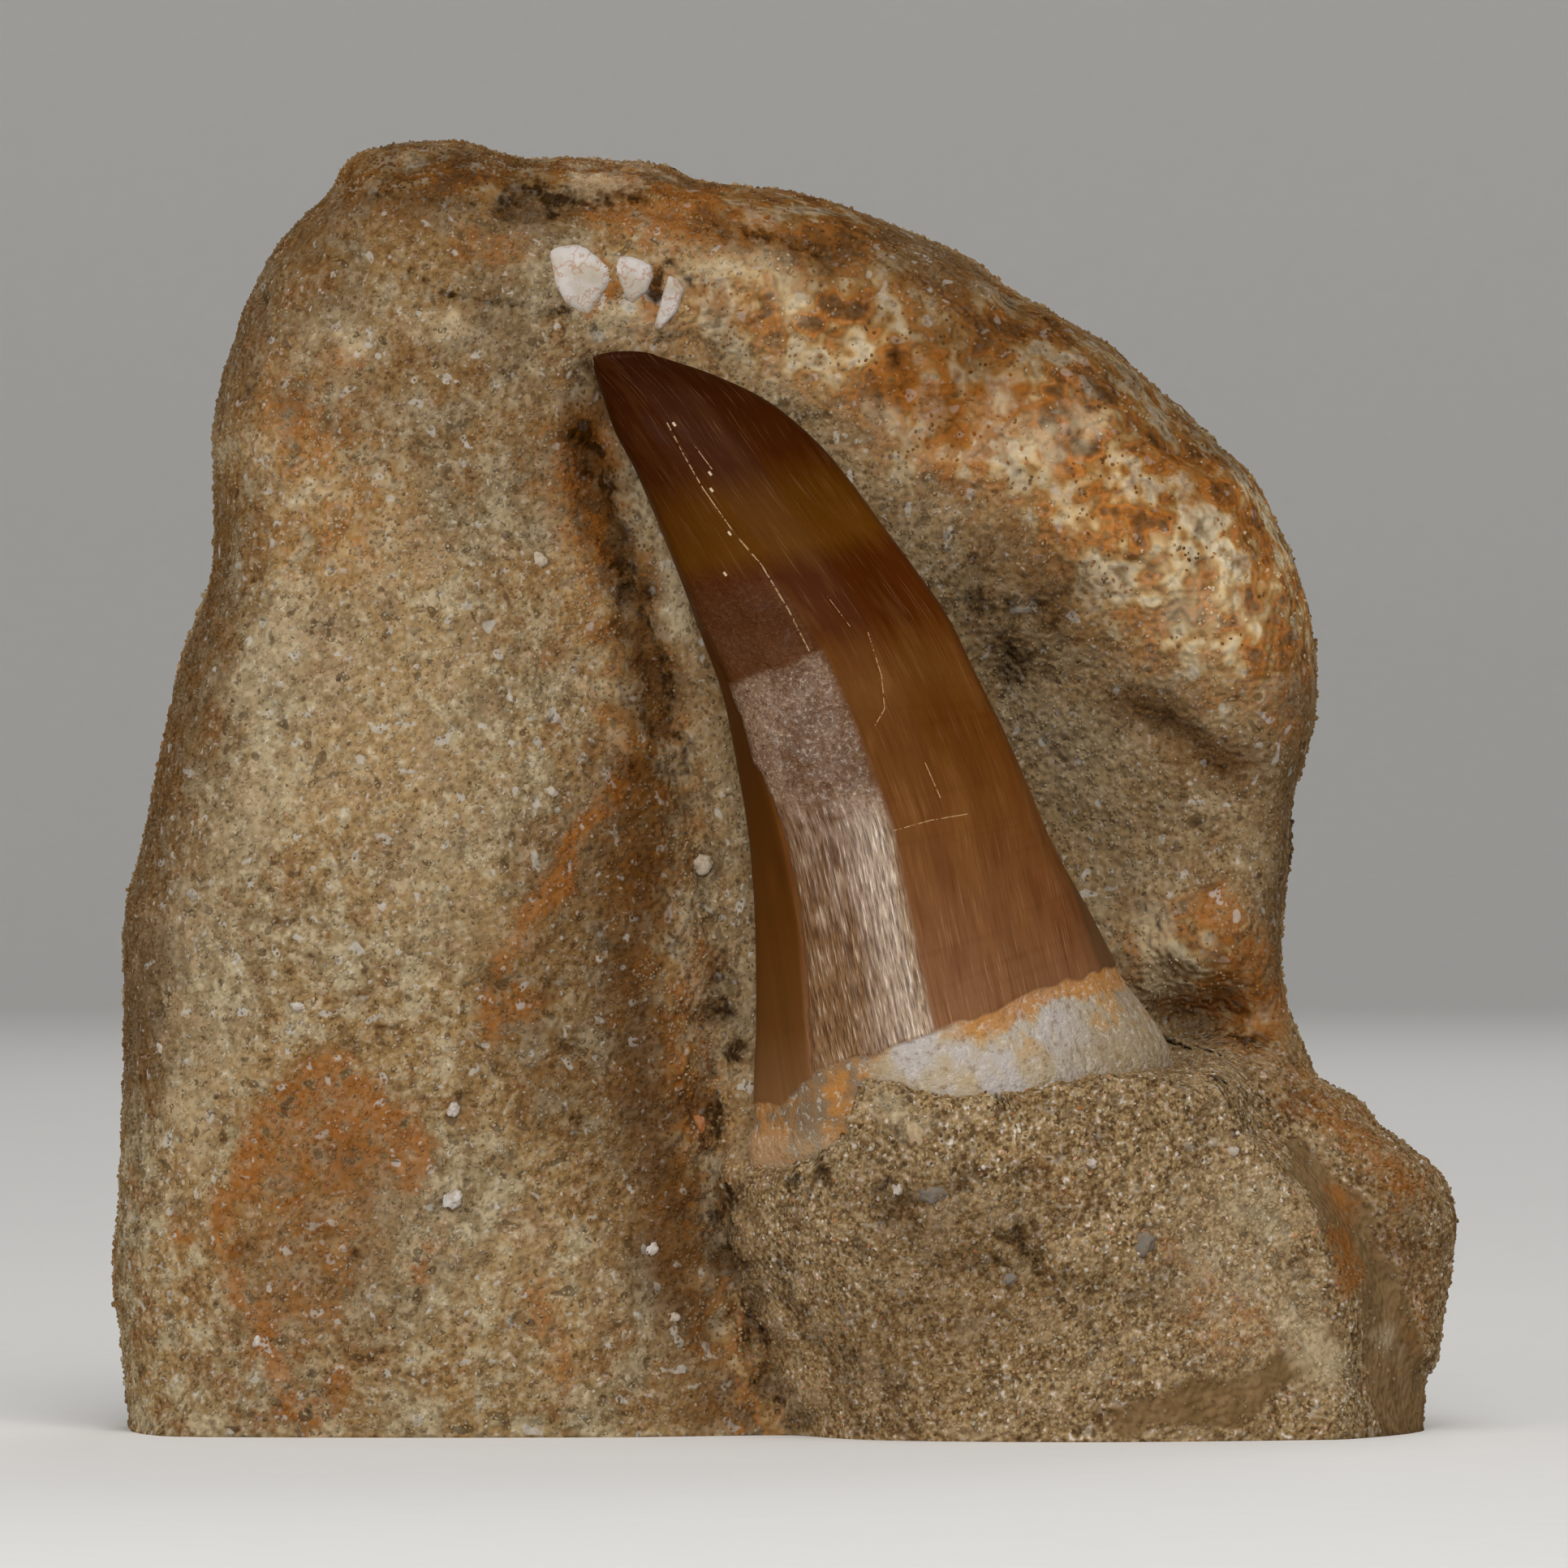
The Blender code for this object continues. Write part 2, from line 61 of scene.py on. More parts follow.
# The block, as the solids have it
RIM_RELIEF = -0.003
BACK_RELIEF = -0.0238
BELOW_BASE = 0.008
HEART = (0.0, 0.035)
RIM_SHARPNESS = 7.0
FACE_SHARPNESS = 2.8
PROFILE_STEPS = 720
BROKEN_SHARE = 0.93
OUTLINE = mm(
    (-44.3, 0), (-45, 6.6), (-45.5, 11), (-45.1, 15.4), (-44.7, 25.4), (-44.8, 30.9), (-44.6, 35.3), (-43.4, 40.3),
    (-42, 46.9), (-40.8, 51.9), (-38.9, 57.4), (-38.6, 61.9), (-38.6, 69), (-37.6, 72.9), (-35.8, 78.4),
    (-33.5, 81.8), (-31, 84), (-29.6, 86.2), (-27.4, 87.2), (-22.4, 87.4), (-18, 86.3), (-14.7, 86.2), (-8.6, 85.8),
    (-5.9, 84.8), (1.3, 83.8), (4.6, 82.7), (8.5, 81.2), (12.4, 79.5), (15.4, 77.2), (19, 75.4), (22.9, 72.9),
    (26.8, 69), (31.2, 65.2), (33.4, 61.3), (35, 57.4), (36, 53), (36, 48.6), (35.3, 45.3), (34.4, 42.8),
    (34.2, 38.6), (33.8, 34.8), (33.8, 30.9), (34.5, 27.3), (36.3, 23.4), (38.9, 22.3), (40.6, 20.4), (43.3, 18.5),
    (44.7, 17.1), (45.4, 14.9), (45.3, 11), (44.7, 7.7), (44.4, 4.9), (43.6, 3.3), (43.4, 0),
)
FURROW = mm(
    (-13.1, 73), (-12.6, 65.9), (-11.9, 61.6), (-10.1, 57.2), (-7.5, 49.6), (-5.7, 42), (-4.1, 33.8), (-4, 25.7),
    (-4.6, 17.5), (-2, 7.2), (1.8, 0),
)
MASS_TOP = mm(
    (-6, 18), (-0.3, 18.6), (2, 19.3), (3.9, 21.1), (4.5, 23.5), (5.3, 25), (6.8, 25), (8.7, 24), (12.4, 23.7),
    (16.7, 24.3), (20.4, 24.9), (26, 25), (31.5, 25.4), (35.8, 23.6), (48, 20),
)
MASS_RIGHT = mm(
    (30, 26), (31.9, 20.5), (34.6, 18.4), (37.8, 14.6), (40, 10.3), (41.3, 5.5), (42, -8),
)
MASS_ACROSS = mm(
    (-8, 9), (-3, 12.5), (0, 17), (3, 20), (7, 22.1), (12, 23.1), (17, 22.8), (22, 21.3), (27, 18.6), (32, 16.8),
    (36, 16), (48, 15),
)
MASS_FOOT = mm(
    (-4, 8), (2, 12), (6, 16.5), (12, 19), (20, 19.6), (28, 18.7), (36, 16.8), (48, 15),
)
BROKEN_FACES = (
    ((-0.80, 0.60, 0.05), 0.0385),
    ((0.62, 0.70, 0.35), 0.0335),
    ((-0.12, 0.72, 0.69), 0.0410),
    ((0.75, 0.66, -0.05), 0.0365),
    ((-0.55, 0.70, 0.45), 0.0380),
)

# The tooth, as the solids have it
TOOTH_EDGES = mm(
    (1.5, 10.5, 26.5, 17.5), (-2.7, 17.7, 26.4, 25.6), (-2.4, 22.4, 22.9, 31.2), (-2.2, 27.4, 20.4, 35.8),
    (-2.2, 33.4, 18.4, 39.3), (-2.5, 39.3, 16.7, 43.1), (-3.3, 44.7, 14.8, 47.4), (-4.2, 49.5, 12.8, 51.4),
    (-5.6, 53.6, 11, 55.1), (-7.2, 57.9, 8.7, 58.4), (-8.8, 61.9, 6.7, 61.1), (-10.2, 65.1, 4.5, 64.1),
    (-11.4, 67.4, 2.2, 66.8), (-12.1, 69.5, -0.9, 69.4), (-12.7, 71.2, -4.6, 71.2), (-12.8, 72.2, -8.5, 72.5),
)
TOOTH_TIP = (-0.0112, 0.0728)
ENAMEL_EDGE = mm(
    (-6, 22.2), (-2.4, 22.5), (-0.3, 22.6), (0.7, 23.3), (2.3, 24.7), (5, 25.5), (7.1, 26.2), (9.8, 27.1),
    (12.4, 28.3), (15.6, 29.5), (18.8, 30.8), (22.4, 31.4), (26, 31.8),
)
# The slanted edge where the middle facet's worn patch begins, X and Z, and small marks on that facet
WORN_TOP = mm(
    (-6, 49.8), (-4, 50.6), (-1.4, 51), (1.3, 52.4), (2.9, 52.7), (4, 51.2), (8, 50.5),
)
WRINKLES = mm((2.4, 43.2), (3, 42.5), (2.1, 41.9), (3.5, 41.3))
NOTCH = (-0.0006, 0.0378)
EDGE_STEPS = 20
CORNER_CUTS = (0.86, 0.80, 0.75, 0.75)
LEFT_RIDGE, MIDDLE_RIDGE, RIGHT_EDGE = 1, 3, 6
FRONT_SHARE = 0.74
TIP_CAP = 0.0006
EDGE_RELIEF_BASE = 0.0120
EDGE_RELIEF_TIP = 0.0105
FRONT_PER_WIDTH = ((0, 0.27), (1, 0.33), (2, 0.375), (5, 0.385), (15, 0.33))
BACK_PER_WIDTH = ((0, 0.28), (2, 0.36), (15, 0.30))
CHIP_CORNERS = {
    "bone_chip_left": mm(
        (-15.8, 79.7), (-13.6, 80), (-11.8, 78.5), (-11.7, 77.5), (-12.4, 76.3), (-13.1, 75.3), (-14.6, 76),
        (-15.3, 77.4),
    ),
    "bone_chip_middle": mm(
        (-11.3, 78.4), (-11, 79.2), (-10, 79.1), (-8.9, 78.6), (-8.8, 77.7), (-9.2, 76.9), (-10.2, 76),
        (-10.8, 76.7),
    ),
    "bone_chip_right": mm(
        (-7.8, 77.9), (-7.2, 77.7), (-6.7, 77), (-7.2, 75.5), (-8.3, 74.3), (-8.7, 74.6),
    ),
}
CHIP_PROUD = 0.0003
CHIP_DEPTH = 0.0018

# Stains, painted shade and light on the block's face, by kind: strength, half width, and the places each runs through,
# X and Z, in mm
STAINS = {
    "rust": (
        (1, 0.9, (-10.7, 44.1), (-12.6, 41.4), (-15, 37.6)),
        (0.8, 0.9, (-15, 37.6), (-17.2, 34.9), (-18.3, 32.2), (-19.2, 28.4)),
        (0.9, 1.3, (-31.1, 24.8), (-29, 23.2), (-26.4, 21.4), (-24.7, 19.4)),
        (0.7, 1.1, (-24.7, 19.4), (-25.4, 17.2)), (0.9, 1, (-31.1, 24.8), (-33.4, 22), (-35.2, 19.4), (-37.2, 16)),
        (0.8, 0.9, (-37.2, 16), (-37.8, 13.9), (-36.8, 9.8), (-34.9, 7.2)),
        (0.9, 0.8, (-34.9, 7.2), (-33.6, 2.6), (-31.8, 0.8), (-29.2, 3.4)),
        (0.55, 2.8, (-31.8, 22.2), (-29, 20.6), (-26.6, 20.2)), (0.45, 3, (-34.2, 18.6), (-30, 18.4)),
        (0.36, 4.2, (-33, 14), (-30, 13)), (0.3, 3, (-33, 9), (-31.2, 3)), (0.6, 1.4, (-15.8, 9.5), (-15.8, 8)),
        (0.5, 1.8, (-19.2, 28.4), (-17, 29)), (0.9, 0.8, (-24.2, 11.3), (-24, 12.2)),
        (0.8, 1.1, (-41.3, 14.3), (-40.7, 13)), (0.5, 1.2, (-15, 52.8), (-16, 52)),
        (0.6, 1.6, (-33.4, 69.6), (-32.6, 68)), (0.7, 2.2, (-12.8, 66), (-14, 62), (-12.5, 59)),
        (0.5, 1.4, (-5.2, 33), (-6, 29), (-5.8, 20)), (0.5, 1.8, (10, 70.3), (12.8, 66), (15.5, 70.3)),
        (0.5, 2, (15.5, 69), (19.9, 64.3), (26.4, 66)), (0.5, 1.8, (23.7, 61.6), (29, 64), (32.4, 58.3)),
        (0.5, 2.4, (33, 52), (33.5, 48)), (0.8, 2, (29.2, 35.4), (31.4, 32.1), (30.3, 29.4), (33.1, 28.8)),
        (0.5, 1.8, (26.5, 28.8), (33, 26.5)), (0.6, 1.8, (34.6, 22.9), (38.9, 20.1), (42.2, 16.9)),
        (0.3, 1.6, (40.5, 16.5), (41.3, 13.4)), (0.4, 2, (43.3, 11.4), (42.7, 6.5)),
        (0.5, 1.8, (25.6, 12.8), (28.9, 10.6), (32.1, 7.4)), (0.8, 0.9, (36.8, 16.4), (37.8, 15)),
        (0.5, 1.4, (1.8, 21.4), (3, 22.5)), (0.4, 1.6, (17, 17.6), (18.2, 17)), (0.5, 1.8, (-10, 84.2), (-2, 82.8)),
        (1, 0.6, (-12.6, 75.2), (-11.4, 76.8), (-11.1, 77.6)),
        (1, 0.6, (-8.5, 78), (-8.9, 76.3), (-9.4, 74.8), (-9.6, 73.8)), (0.6, 0.6, (-12.5, 79.7), (-11.7, 79.2)),
        (0.6, 1, (-8.6, 80), (-7.6, 79.6)), (0.7, 1.4, (-12, 82.2), (-6, 81.2), (3, 80)),
        (0.6, 1.2, (-15, 85.2), (-11, 84.6)), (0.9, 2.2, (8.8, 71.4), (11, 69.8), (13, 68)),
        (0.5, 2, (-20.6, 80), (-18, 79.5)), (0.5, 1.8, (-30.2, 73), (-29, 72.2)),
        (0.8, 0.9, (37, 13.2), (38.2, 10.6)), (0.5, 1.6, (26.6, 8), (29, 6.2)),
        (0.5, 1.2, (-12, 49), (-10.8, 46.2)), (0.6, 1.8, (-6, 76.4), (-3, 75.2)),
        (0.5, 1, (-17, 10), (-15, 6), (-14.6, 2)), (0.6, 1.4, (5.6, 70), (8, 67.6), (11.2, 64)),
    ),
    "dark": (
        # Down the furrow: dark stain, with painted shadow in the furrow's crease
        (0.5, 1.2, (-13.3, 66.8), (-12.4, 63.8), (-11.3, 60), (-9.6, 56.2)), (0.9, 1, (-13.3, 66.8), (-12.9, 65.4)),
        (0.9, 0.8, (-12, 64.6), (-11.8, 63.8)), (0.9, 0.8, (-11.6, 61.6), (-11.3, 60.6)),
        (0.9, 0.7, (-11, 58.4), (-10.7, 57.2)), (0.5, 0.9, (-9.2, 55.2), (-8, 51.2), (-7, 46.9)),
        (0.9, 0.8, (-8, 51.6), (-7.6, 50.4)), (0.7, 0.7, (-10.6, 44.5), (-10.4, 43.6)),
        (0.4, 0.9, (-7, 46.9), (-5.4, 40), (-4.5, 33)),
        (0.5, 1, (-4.7, 32.1), (-4.4, 27.7), (-5.4, 21.2), (-4.4, 15.7)), (0.9, 0.8, (-3.4, 29), (-3.4, 25.6)),
        (0.9, 0.7, (-5, 21.6), (-4.8, 20.4)), (0.6, 1.1, (-4.4, 15.7), (-3.6, 11.3), (-2, 7)),
        (0.7, 0.8, (-2, 7), (-0.9, 3.7), (0.8, 0.2)), (0.6, 0.7, (-13.4, 72.6), (-12.8, 70.2)),
        (1, 1.2, (-18, 83.2), (-16, 82.8)), (0.6, 0.9, (-16, 82.8), (-13, 83.2), (-9.6, 82.8)),
        (0.5, 1, (-28, 83.4), (-25, 83.2), (-21.2, 82.8)), (0.6, 0.7, (-30, 80.4), (-29, 79.7)),
        (0.7, 0.3, (-25.6, 77.8), (-21.5, 76.8), (-17.5, 76.2), (-14.3, 75.6)),
        (0.7, 0.5, (-14.3, 76), (-14, 75.4)), (0.9, 0.5, (-7.8, 78.6), (-8.5, 77.4), (-8.7, 76.2)),
        (0.7, 0.4, (-6.8, 77.8), (-6.2, 77.1)), (0.5, 0.9, (-6, 81.5), (0, 80.6), (4, 79.8)),
        (0.7, 0.8, (7.4, 73), (7.8, 72.2)), (0.6, 0.7, (-28.8, 13.2), (-28.6, 12.6)),
        (0.4, 1.4, (-3.6, 80.1), (-0.3, 79), (2.4, 78.5)), (0.5, 2.4, (12.5, 59.4), (13.4, 56.2), (16.5, 54)),
        (0.9, 0.8, (15.5, 52.4), (15.8, 50.8)), (0.4, 1.8, (19.9, 58.3), (17.7, 55.1)),
        (0.5, 0.8, (23.6, 48.8), (26.2, 47.4)), (0.5, 0.9, (28, 46.6), (30.4, 45)),
        # (27, 26.8) to (33, 25): painted shadow in the pocket behind the mass at the right
        (0.6, 0.8, (27, 26.8), (29.4, 27.1), (31.8, 26.6)), (0.2, 1.8, (26.5, 25.2), (33, 25)),
        # (7.2, 21.2) to (15, 15.5): darker sand just under the root, partly dark grains, partly painted shadow
        (0.35, 2.6, (7.2, 21.2), (11.5, 17.7), (15, 15.5)), (0.4, 3, (15, 12.6), (20, 10.2)),
        (0.4, 2, (6.1, 17.7), (9.9, 12.9)), (0.4, 2.2, (-0.3, 11.8), (1.8, 7.4), (7.2, 4.2)),
        (0.5, 1.2, (1, 17.8), (2.4, 18.2), (3, 19.2)), (0.5, 0.8, (-12.8, 74.2), (-6, 73.5), (-1, 70.5)),
    ),
    "pale": (
        (0.6, 1, (-11.5, 69.2), (-9.9, 64.8), (-8, 59.4), (-6.6, 55)),
        (0.25, 0.8, (-6.6, 55), (-5.2, 49.6), (-3.9, 44.1), (-3.3, 38.7)), (0.6, 1.6, (-29.6, 75), (-28.6, 73.6)),
        (0.5, 1.8, (-24.2, 74.6), (-20.5, 73.8)), (0.4, 2, (-34, 44), (-37, 40)),
        # (17.5, 48.2) to (19.8, 46.2): painted light that lifts the valley right of the tooth out of its shade
        (0.4, 2.8, (17.5, 48.2), (19.8, 46.2)), (0.5, 0.9, (40.2, 7), (40.8, 5.8)),
        (0.5, 1.6, (-40, 23), (-39.6, 19)), (0.36, 5, (-40, 33), (-38.5, 26)),
        (0.5, 2.2, (-6.9, 77.9), (-2, 78.5), (0, 77)), (1, 1.1, (-12, 74.4), (-10.8, 75.2), (-10, 74.4)),
        (0.4, 1.4, (-8, 74), (-3.6, 74.6)), (0.7, 1.2, (-14, 85.2), (-11, 84.8)),
        (0.2, 1.4, (-27.8, 86), (-23, 86.2), (-19.6, 85.2)), (0.6, 0.7, (-22.2, 75.6), (-22.1, 73.2)),
        (0.5, 2, (-33, 56), (-36, 50)), (0.7, 1.8, (14.4, 68.5), (18.2, 66.5), (20.4, 69.2)),
        (0.5, 1.4, (6, 69), (9, 66)), (0.3, 2.2, (25.9, 57.2), (29.1, 53.9), (32.4, 55.6)),
        (0.3, 2, (27, 61.6), (25.3, 56), (26.2, 52.5)), (0.2, 3, (30, 51), (29, 60)),
        (1, 1.3, (24.8, 34.3), (25.2, 31.8)), (0.6, 1.5, (27.6, 32.1), (25.9, 30.4)),
        (0.7, 1.8, (34.8, 8.4), (35.9, 4.1)), (0.45, 5, (29, 14), (30, 9)), (0.5, 1.2, (32.7, 14.9), (32, 17)),
        (0.6, 1.2, (5.8, 22.2), (8.3, 21.4)), (0.35, 7, (-30, 45), (-24, 56), (-22, 36)),
        (0.3, 6, (-25, 15), (-15, 10)), (0.3, 5, (20, 44), (23, 38)),
    ),
    # Umber marks: brown stain, and painted shade where the rims, the edges and the slab's shoulder turn from the light
    "umber": (
        (1, 3.4, (-9.8, 44), (-10.4, 36), (-9.6, 25), (-7.2, 12)), (0.7, 2.8, (-7.2, 12), (-4.6, 2)),
        (0.6, 3.4, (-15, 38), (-17.5, 29), (-16, 23)),
        (0.6, 3.2, (-25, 86), (-10, 85), (5, 81.5), (18, 74.5), (29, 66)),
        (0.7, 3, (-37.5, 70), (-35, 78), (-30, 85)), (0.8, 3.4, (-38.5, 62), (-39, 56), (-42.5, 42), (-44.2, 25)),
        (1, 2.2, (-13.6, 68), (-12, 60), (-9.6, 54), (-8.5, 48)), (0.5, 2.4, (-28, 83.2), (-22, 82.6), (-15, 81.2)),
        (0.55, 5, (-31, 19), (-32, 11)), (0.5, 1.8, (-31.2, 78.4), (-30, 77)), (0.6, 2.8, (8, 70), (13, 71)),
        (0.4, 1.8, (23.5, 2.2), (32, 3.6)), (0.2, 3.6, (-20, 77), (-24, 72), (-27, 69)),
        (0.4, 3, (40.5, 17.5), (42.5, 12)), (0.4, 1.6, (-26, 84.8), (-22, 85.2), (-18, 84.6)),
        (0.5, 4, (8, 15), (15, 10), (6, 6)), (0.6, 3, (15.5, 59), (19, 55)),
        # Painted shade in the groove right of the tooth and over the upper slab
        (0.8, 1.8, (23, 49.4), (26.5, 47.6), (30.5, 45.2)), (0.35, 11, (-26, 80), (-20, 69)),
        (0.5, 3.4, (5, 79), (12, 75.5), (16, 73)), (0.6, 2.2, (35, 50), (34.5, 40), (33.5, 31)),
    ),
    "mottle": (
        (1, 5.8, (12, 70.5), (20, 67), (28, 61), (32, 55)), (0.9, 4.8, (5, 74.5), (12, 70)),
        (0.8, 4, (20, 62), (26, 56)), (0.9, 3.4, (26.2, 33), (31, 29)), (0.8, 3.4, (-6, 76.2), (3, 76)),
        (0.5, 4, (-34, 70), (-29, 61)), (0.7, 3.2, (-13.8, 68), (-12.2, 60), (-10.5, 54), (-8.8, 47)),
        (0.7, 3, (-9.5, 44), (-8.8, 34), (-7, 22), (-5.5, 12), (-2, 2)), (0.9, 2.6, (-29, 85.2), (-19, 84.8)),
        (0.9, 2.2, (-15, 85), (-4, 83.2), (5, 81.2)), (0.8, 2.8, (15, 75.2), (25, 68.6), (33, 60)),
        (0.5, 3, (-30, 20), (-31, 11)),
    ),
    "clay": (
        (1, 1.3, (34.5, 18.6), (36.8, 15.6)), (1, 1.9, (37.2, 15), (39.7, 11.5), (41, 7.2), (41.4, 2.8)),
        (1, 2.1, (41.4, 2.8), (41.5, -1)), (0.9, 1.6, (22.9, 1.7), (26.1, 2.2), (29.9, 3), (33.7, 4.7)),
        (0.9, 1.1, (33.7, 4.7), (36.4, 6.9)),
    ),
}
# Loose pebbles set in the face: X, Z and length in mm, and the tone from dark to white
PEBBLES = (
    (-5.5, 38.4, 1.5, 0.94), (-22.1, 16.1, 1.3, 1), (-24.6, 51.5, 0.8, 0.97), (-17, 45.2, 0.9, 0.93),
    (-16.4, 58.8, 1, 0.94), (-32.5, 28.9, 0.9, 0.98), (-9, 12.5, 0.9, 0.99), (-22.1, 22.1, 0.9, 0.98),
    (-39.3, 16.3, 0.8, 0.94), (-15.6, 43.3, 0.8, 0.95), (29.7, 19.3, 1, 0.96), (23.7, 13.2, 1.6, 0.06),
    (-5.8, 20.9, 1.2, 0.72), (8.8, 20.6, 1.4, 0.9), (20.3, 18.7, 0.8, 0.97), (10, 16.8, 1.7, 0.05),
    (-35.2, 6.5, 0.8, 1), (7.5, 17, 0.9, 0.97), (-41.8, 26, 0.8, 0.97), (-7.5, 8, 0.8, 0.95), (15, 11, 0.9, 0.1),
)
# Pale scratches on the crown: half width, and the places that each runs through, X and Z, in mm
SCRATCHES = (
    (0.04, (-7.8, 67.9), (-6.6, 65.6), (-5.4, 63.5), (-3.3, 60.5)),
    (0.05, (-3.3, 60.5), (-1.5, 58.4), (0.3, 55.4), (1.8, 52.4)), (0.03, (-6, 66.4), (-4.8, 64.8)),
    (0.03, (5.6, 53.9), (6.5, 51), (6.7, 48.8), (6, 47.6)), (0.03, (9.4, 45.2), (10.4, 42.9)),
    (0.03, (7.3, 40.7), (9.8, 41.4), (12.2, 41.8)), (0.02, (2.9, 56.3), (4.4, 54.3)),
)
# Short pale nicks beside the longest scratch
NICKS = mm((-7.4, 67.9), (-4.9, 63.5), (-4, 57.9), (-3.7, 60.6), (-5, 64.6))


def smooth_step(low, high, value):
    share = np.clip((value - low) / (high - low), 0.0, 1.0)
    return share * share * (3.0 - 2.0 * share)


def bump(x, z, at_x, at_z, size_x, size_z, height, turn=0.0):
    """A round hill of that height, size_x and size_z across at 1/e, turned by so many degrees."""
    c, s = math.cos(math.radians(turn)), math.sin(math.radians(turn))
    along = ((x - at_x) * c + (z - at_z) * s) / size_x
    across = ((z - at_z) * c - (x - at_x) * s) / size_z
    return height * np.exp(-along * along - across * across)


def hills(relief, x, z, *rows):
    """Adds round hills or dips: the place, size along and across and height of each, in mm, and its turn."""
    for row in rows:
        relief = relief + bump(x, z, *mm(row[:5])[0], *row[5:])
    return relief


def spline(points, steps, closed=False):
    """Catmull-Rom curve through the points, with so many steps to each span."""
    p = np.array(points, float)
    if closed:
        before, after, last = np.roll(p, 1, 0), np.roll(p, -1, 0), np.roll(p, -2, 0)
    else:
        before = np.vstack([2 * p[0] - p[1], p[:-2]])
        after, last = p[1:], np.vstack([p[2:], 2 * p[-1] - p[-2]])
        p = p[:-1]
    made = []
    for a, b, c, d in zip(before, p, after, last):
        for t in np.arange(steps) / steps:
            made.append(0.5 * (2 * b + (c - a) * t + (2 * a - 5 * b + 4 * c - d) * t**2
                               + (3 * b - a - 3 * c + d) * t**3))
    if not closed:
        made.append(np.array(points[-1], float))
    return np.array(made)


def curve(stops, at):
    """A smooth curve through the stops, read at each place."""
    line = spline(stops, 10)
    return np.interp(at, line[:, 0], line[:, 1])


def noise_at(points, size, shift):
    """Perlin noise at each point, from about -1 to 1, with lumps of that size."""
    return np.array([noise.noise(Vector(p) / size + Vector((shift, 0.0, 0.0))) for p in points])


def line_x(line, z):
    """X of a line that runs down the face, at each Z."""
    points = np.array(sorted(line, key=lambda p: p[1]))
    return np.interp(z, points[:, 1], points[:, 0])


def line_z(line, x):
    """Z of a line that runs across the face, at each X."""
    points = np.array(line)
    return np.interp(x, points[:, 0], points[:, 1])


def distance_to(points, x, z):
    """Distance of each place from a line of points."""
    nearest = np.full(np.shape(x), 1.0)
    for (ax, az), (bx, bz) in zip(points, points[1:]):
        length = (bx - ax) ** 2 + (bz - az) ** 2
        share = np.clip(((x - ax) * (bx - ax) + (z - az) * (bz - az)) / length, 0.0, 1.0)
        nearest = np.minimum(nearest, np.hypot(x - ax - share * (bx - ax), z - az - share * (bz - az)))
    return nearest


# The block's surface


def slab(x, z):
    """The large smooth face left of the furrow."""
    level = 0.0118 + 0.0 * x
    return hills(level, x, z, (-24, 34, 16, 30, 2.2), (-30, 72, 12, 12, -1.2), (-14, 70, 8, 10, 0.8))


def hollow(x, z):
    """The worn hollow behind the tooth and the rounded rim that closes it at the upper right."""
    level = 0.0092 + 0.0 * x
    return hills(
        level, x, z, (19, 40, 12.5, 15, -8.2, 35), (26, 61, 9, 12, 2.6, 30), (28.5, 27.5, 5.5, 3, -8),
        (27, 46.8, 5.5, 1.2, -1.2, -28), (14.5, 51.2, 1.4, 2.2, -1.4), (29, 33.5, 4, 4, 2), (6, 78, 10, 4.5, 1, -15),
    )


def past_flank(x, z):
    """1 on the ledge beyond the lower mass's steep right flank, 0 on the mass."""
    flank = np.interp(z, (0.0, 0.020), (0.0052, 0.0020))
    return smooth_step(-flank, 0.0012, x - line_x(MASS_RIGHT, z))


def lower_mass(x, z):
    """The bulging mass that holds the root, with a lower ledge beyond its steep right flank."""
    up = smooth_step(0.0, 0.020, z)
    relief = hills(curve(MASS_FOOT, x) * (1 - up) + curve(MASS_ACROSS, x) * up, x, z,
                   (10, 10, 6, 2.2, -0.7, 25), (24, 12, 5, 4, 0.7), (3, 14.5, 4, 3, 0.6))
    ledge = 0.0092 + bump(x, z, 0.042, 0.017, 0.004, 0.005, 0.0012)
    past = past_flank(x, z)
    return relief * (1 - past) + ledge * past


def seat(x, z, ground):
    """Raises the ground under the tooth's left flank to a narrow lip that carries it, up to the tip."""
    edges = np.array(TOOTH_EDGES)
    from_left = x - np.interp(z, edges[:, 1], edges[:, 0])
    height = np.interp(z, (0.016, 0.030, 0.050, 0.068, 0.074), (0.0105, 0.0088, 0.0088, 0.0098, 0.0102))
    near = smooth_step(-0.0040, -0.0010, from_left) * (1 - smooth_step(0.004, 0.013, from_left))
    near = near * (1 - smooth_step(0.0735, 0.0775, z))
    return ground * (1 - near) + np.maximum(ground, height) * near


def in_mass(x, z):
    """1 on the lower mass, 0 above its upper edge."""
    step = np.interp(x, (-0.006, -0.002, 0.025, 0.031), (0.0020, 0.0010, 0.0011, 0.0030))
    return 1 - smooth_step(-step, step, z - line_z(MASS_TOP, x))


def front_relief(x, z):
    """Relief of the block's front face."""
    into_mass = in_mass(x, z)
    right = seat(x, z, hollow(x, z))
    right = right * (1 - into_mass) + lower_mass(x, z) * into_mass
    from_furrow = x - line_x(FURROW, z)
    open_end = 1 - smooth_step(0.070, 0.080, z)
    side = smooth_step(-0.0034, 0.0010, from_furrow) * open_end + smooth_step(-0.006, 0.010, x) * (1 - open_end)
    shoulder = 0.0034 * smooth_step(-0.0135, -0.0010, from_furrow) * open_end
    relief = (slab(x, z) - shoulder) * (1 - side) + right * side
    depth = np.interp(z, (0.0, 0.010, 0.020, 0.045, 0.066, 0.073), (0.0014, 0.0022, 0.0020, 0.0015, 0.0016, 0.0))
    relief -= depth * np.exp(-((from_furrow + 0.0004) / 0.0013) ** 2)
    return hills(relief, x, z, (-11.5, 82.5, 6, 1, -1.6, -3), (-27, 82.5, 4.5, 2, 0.8))


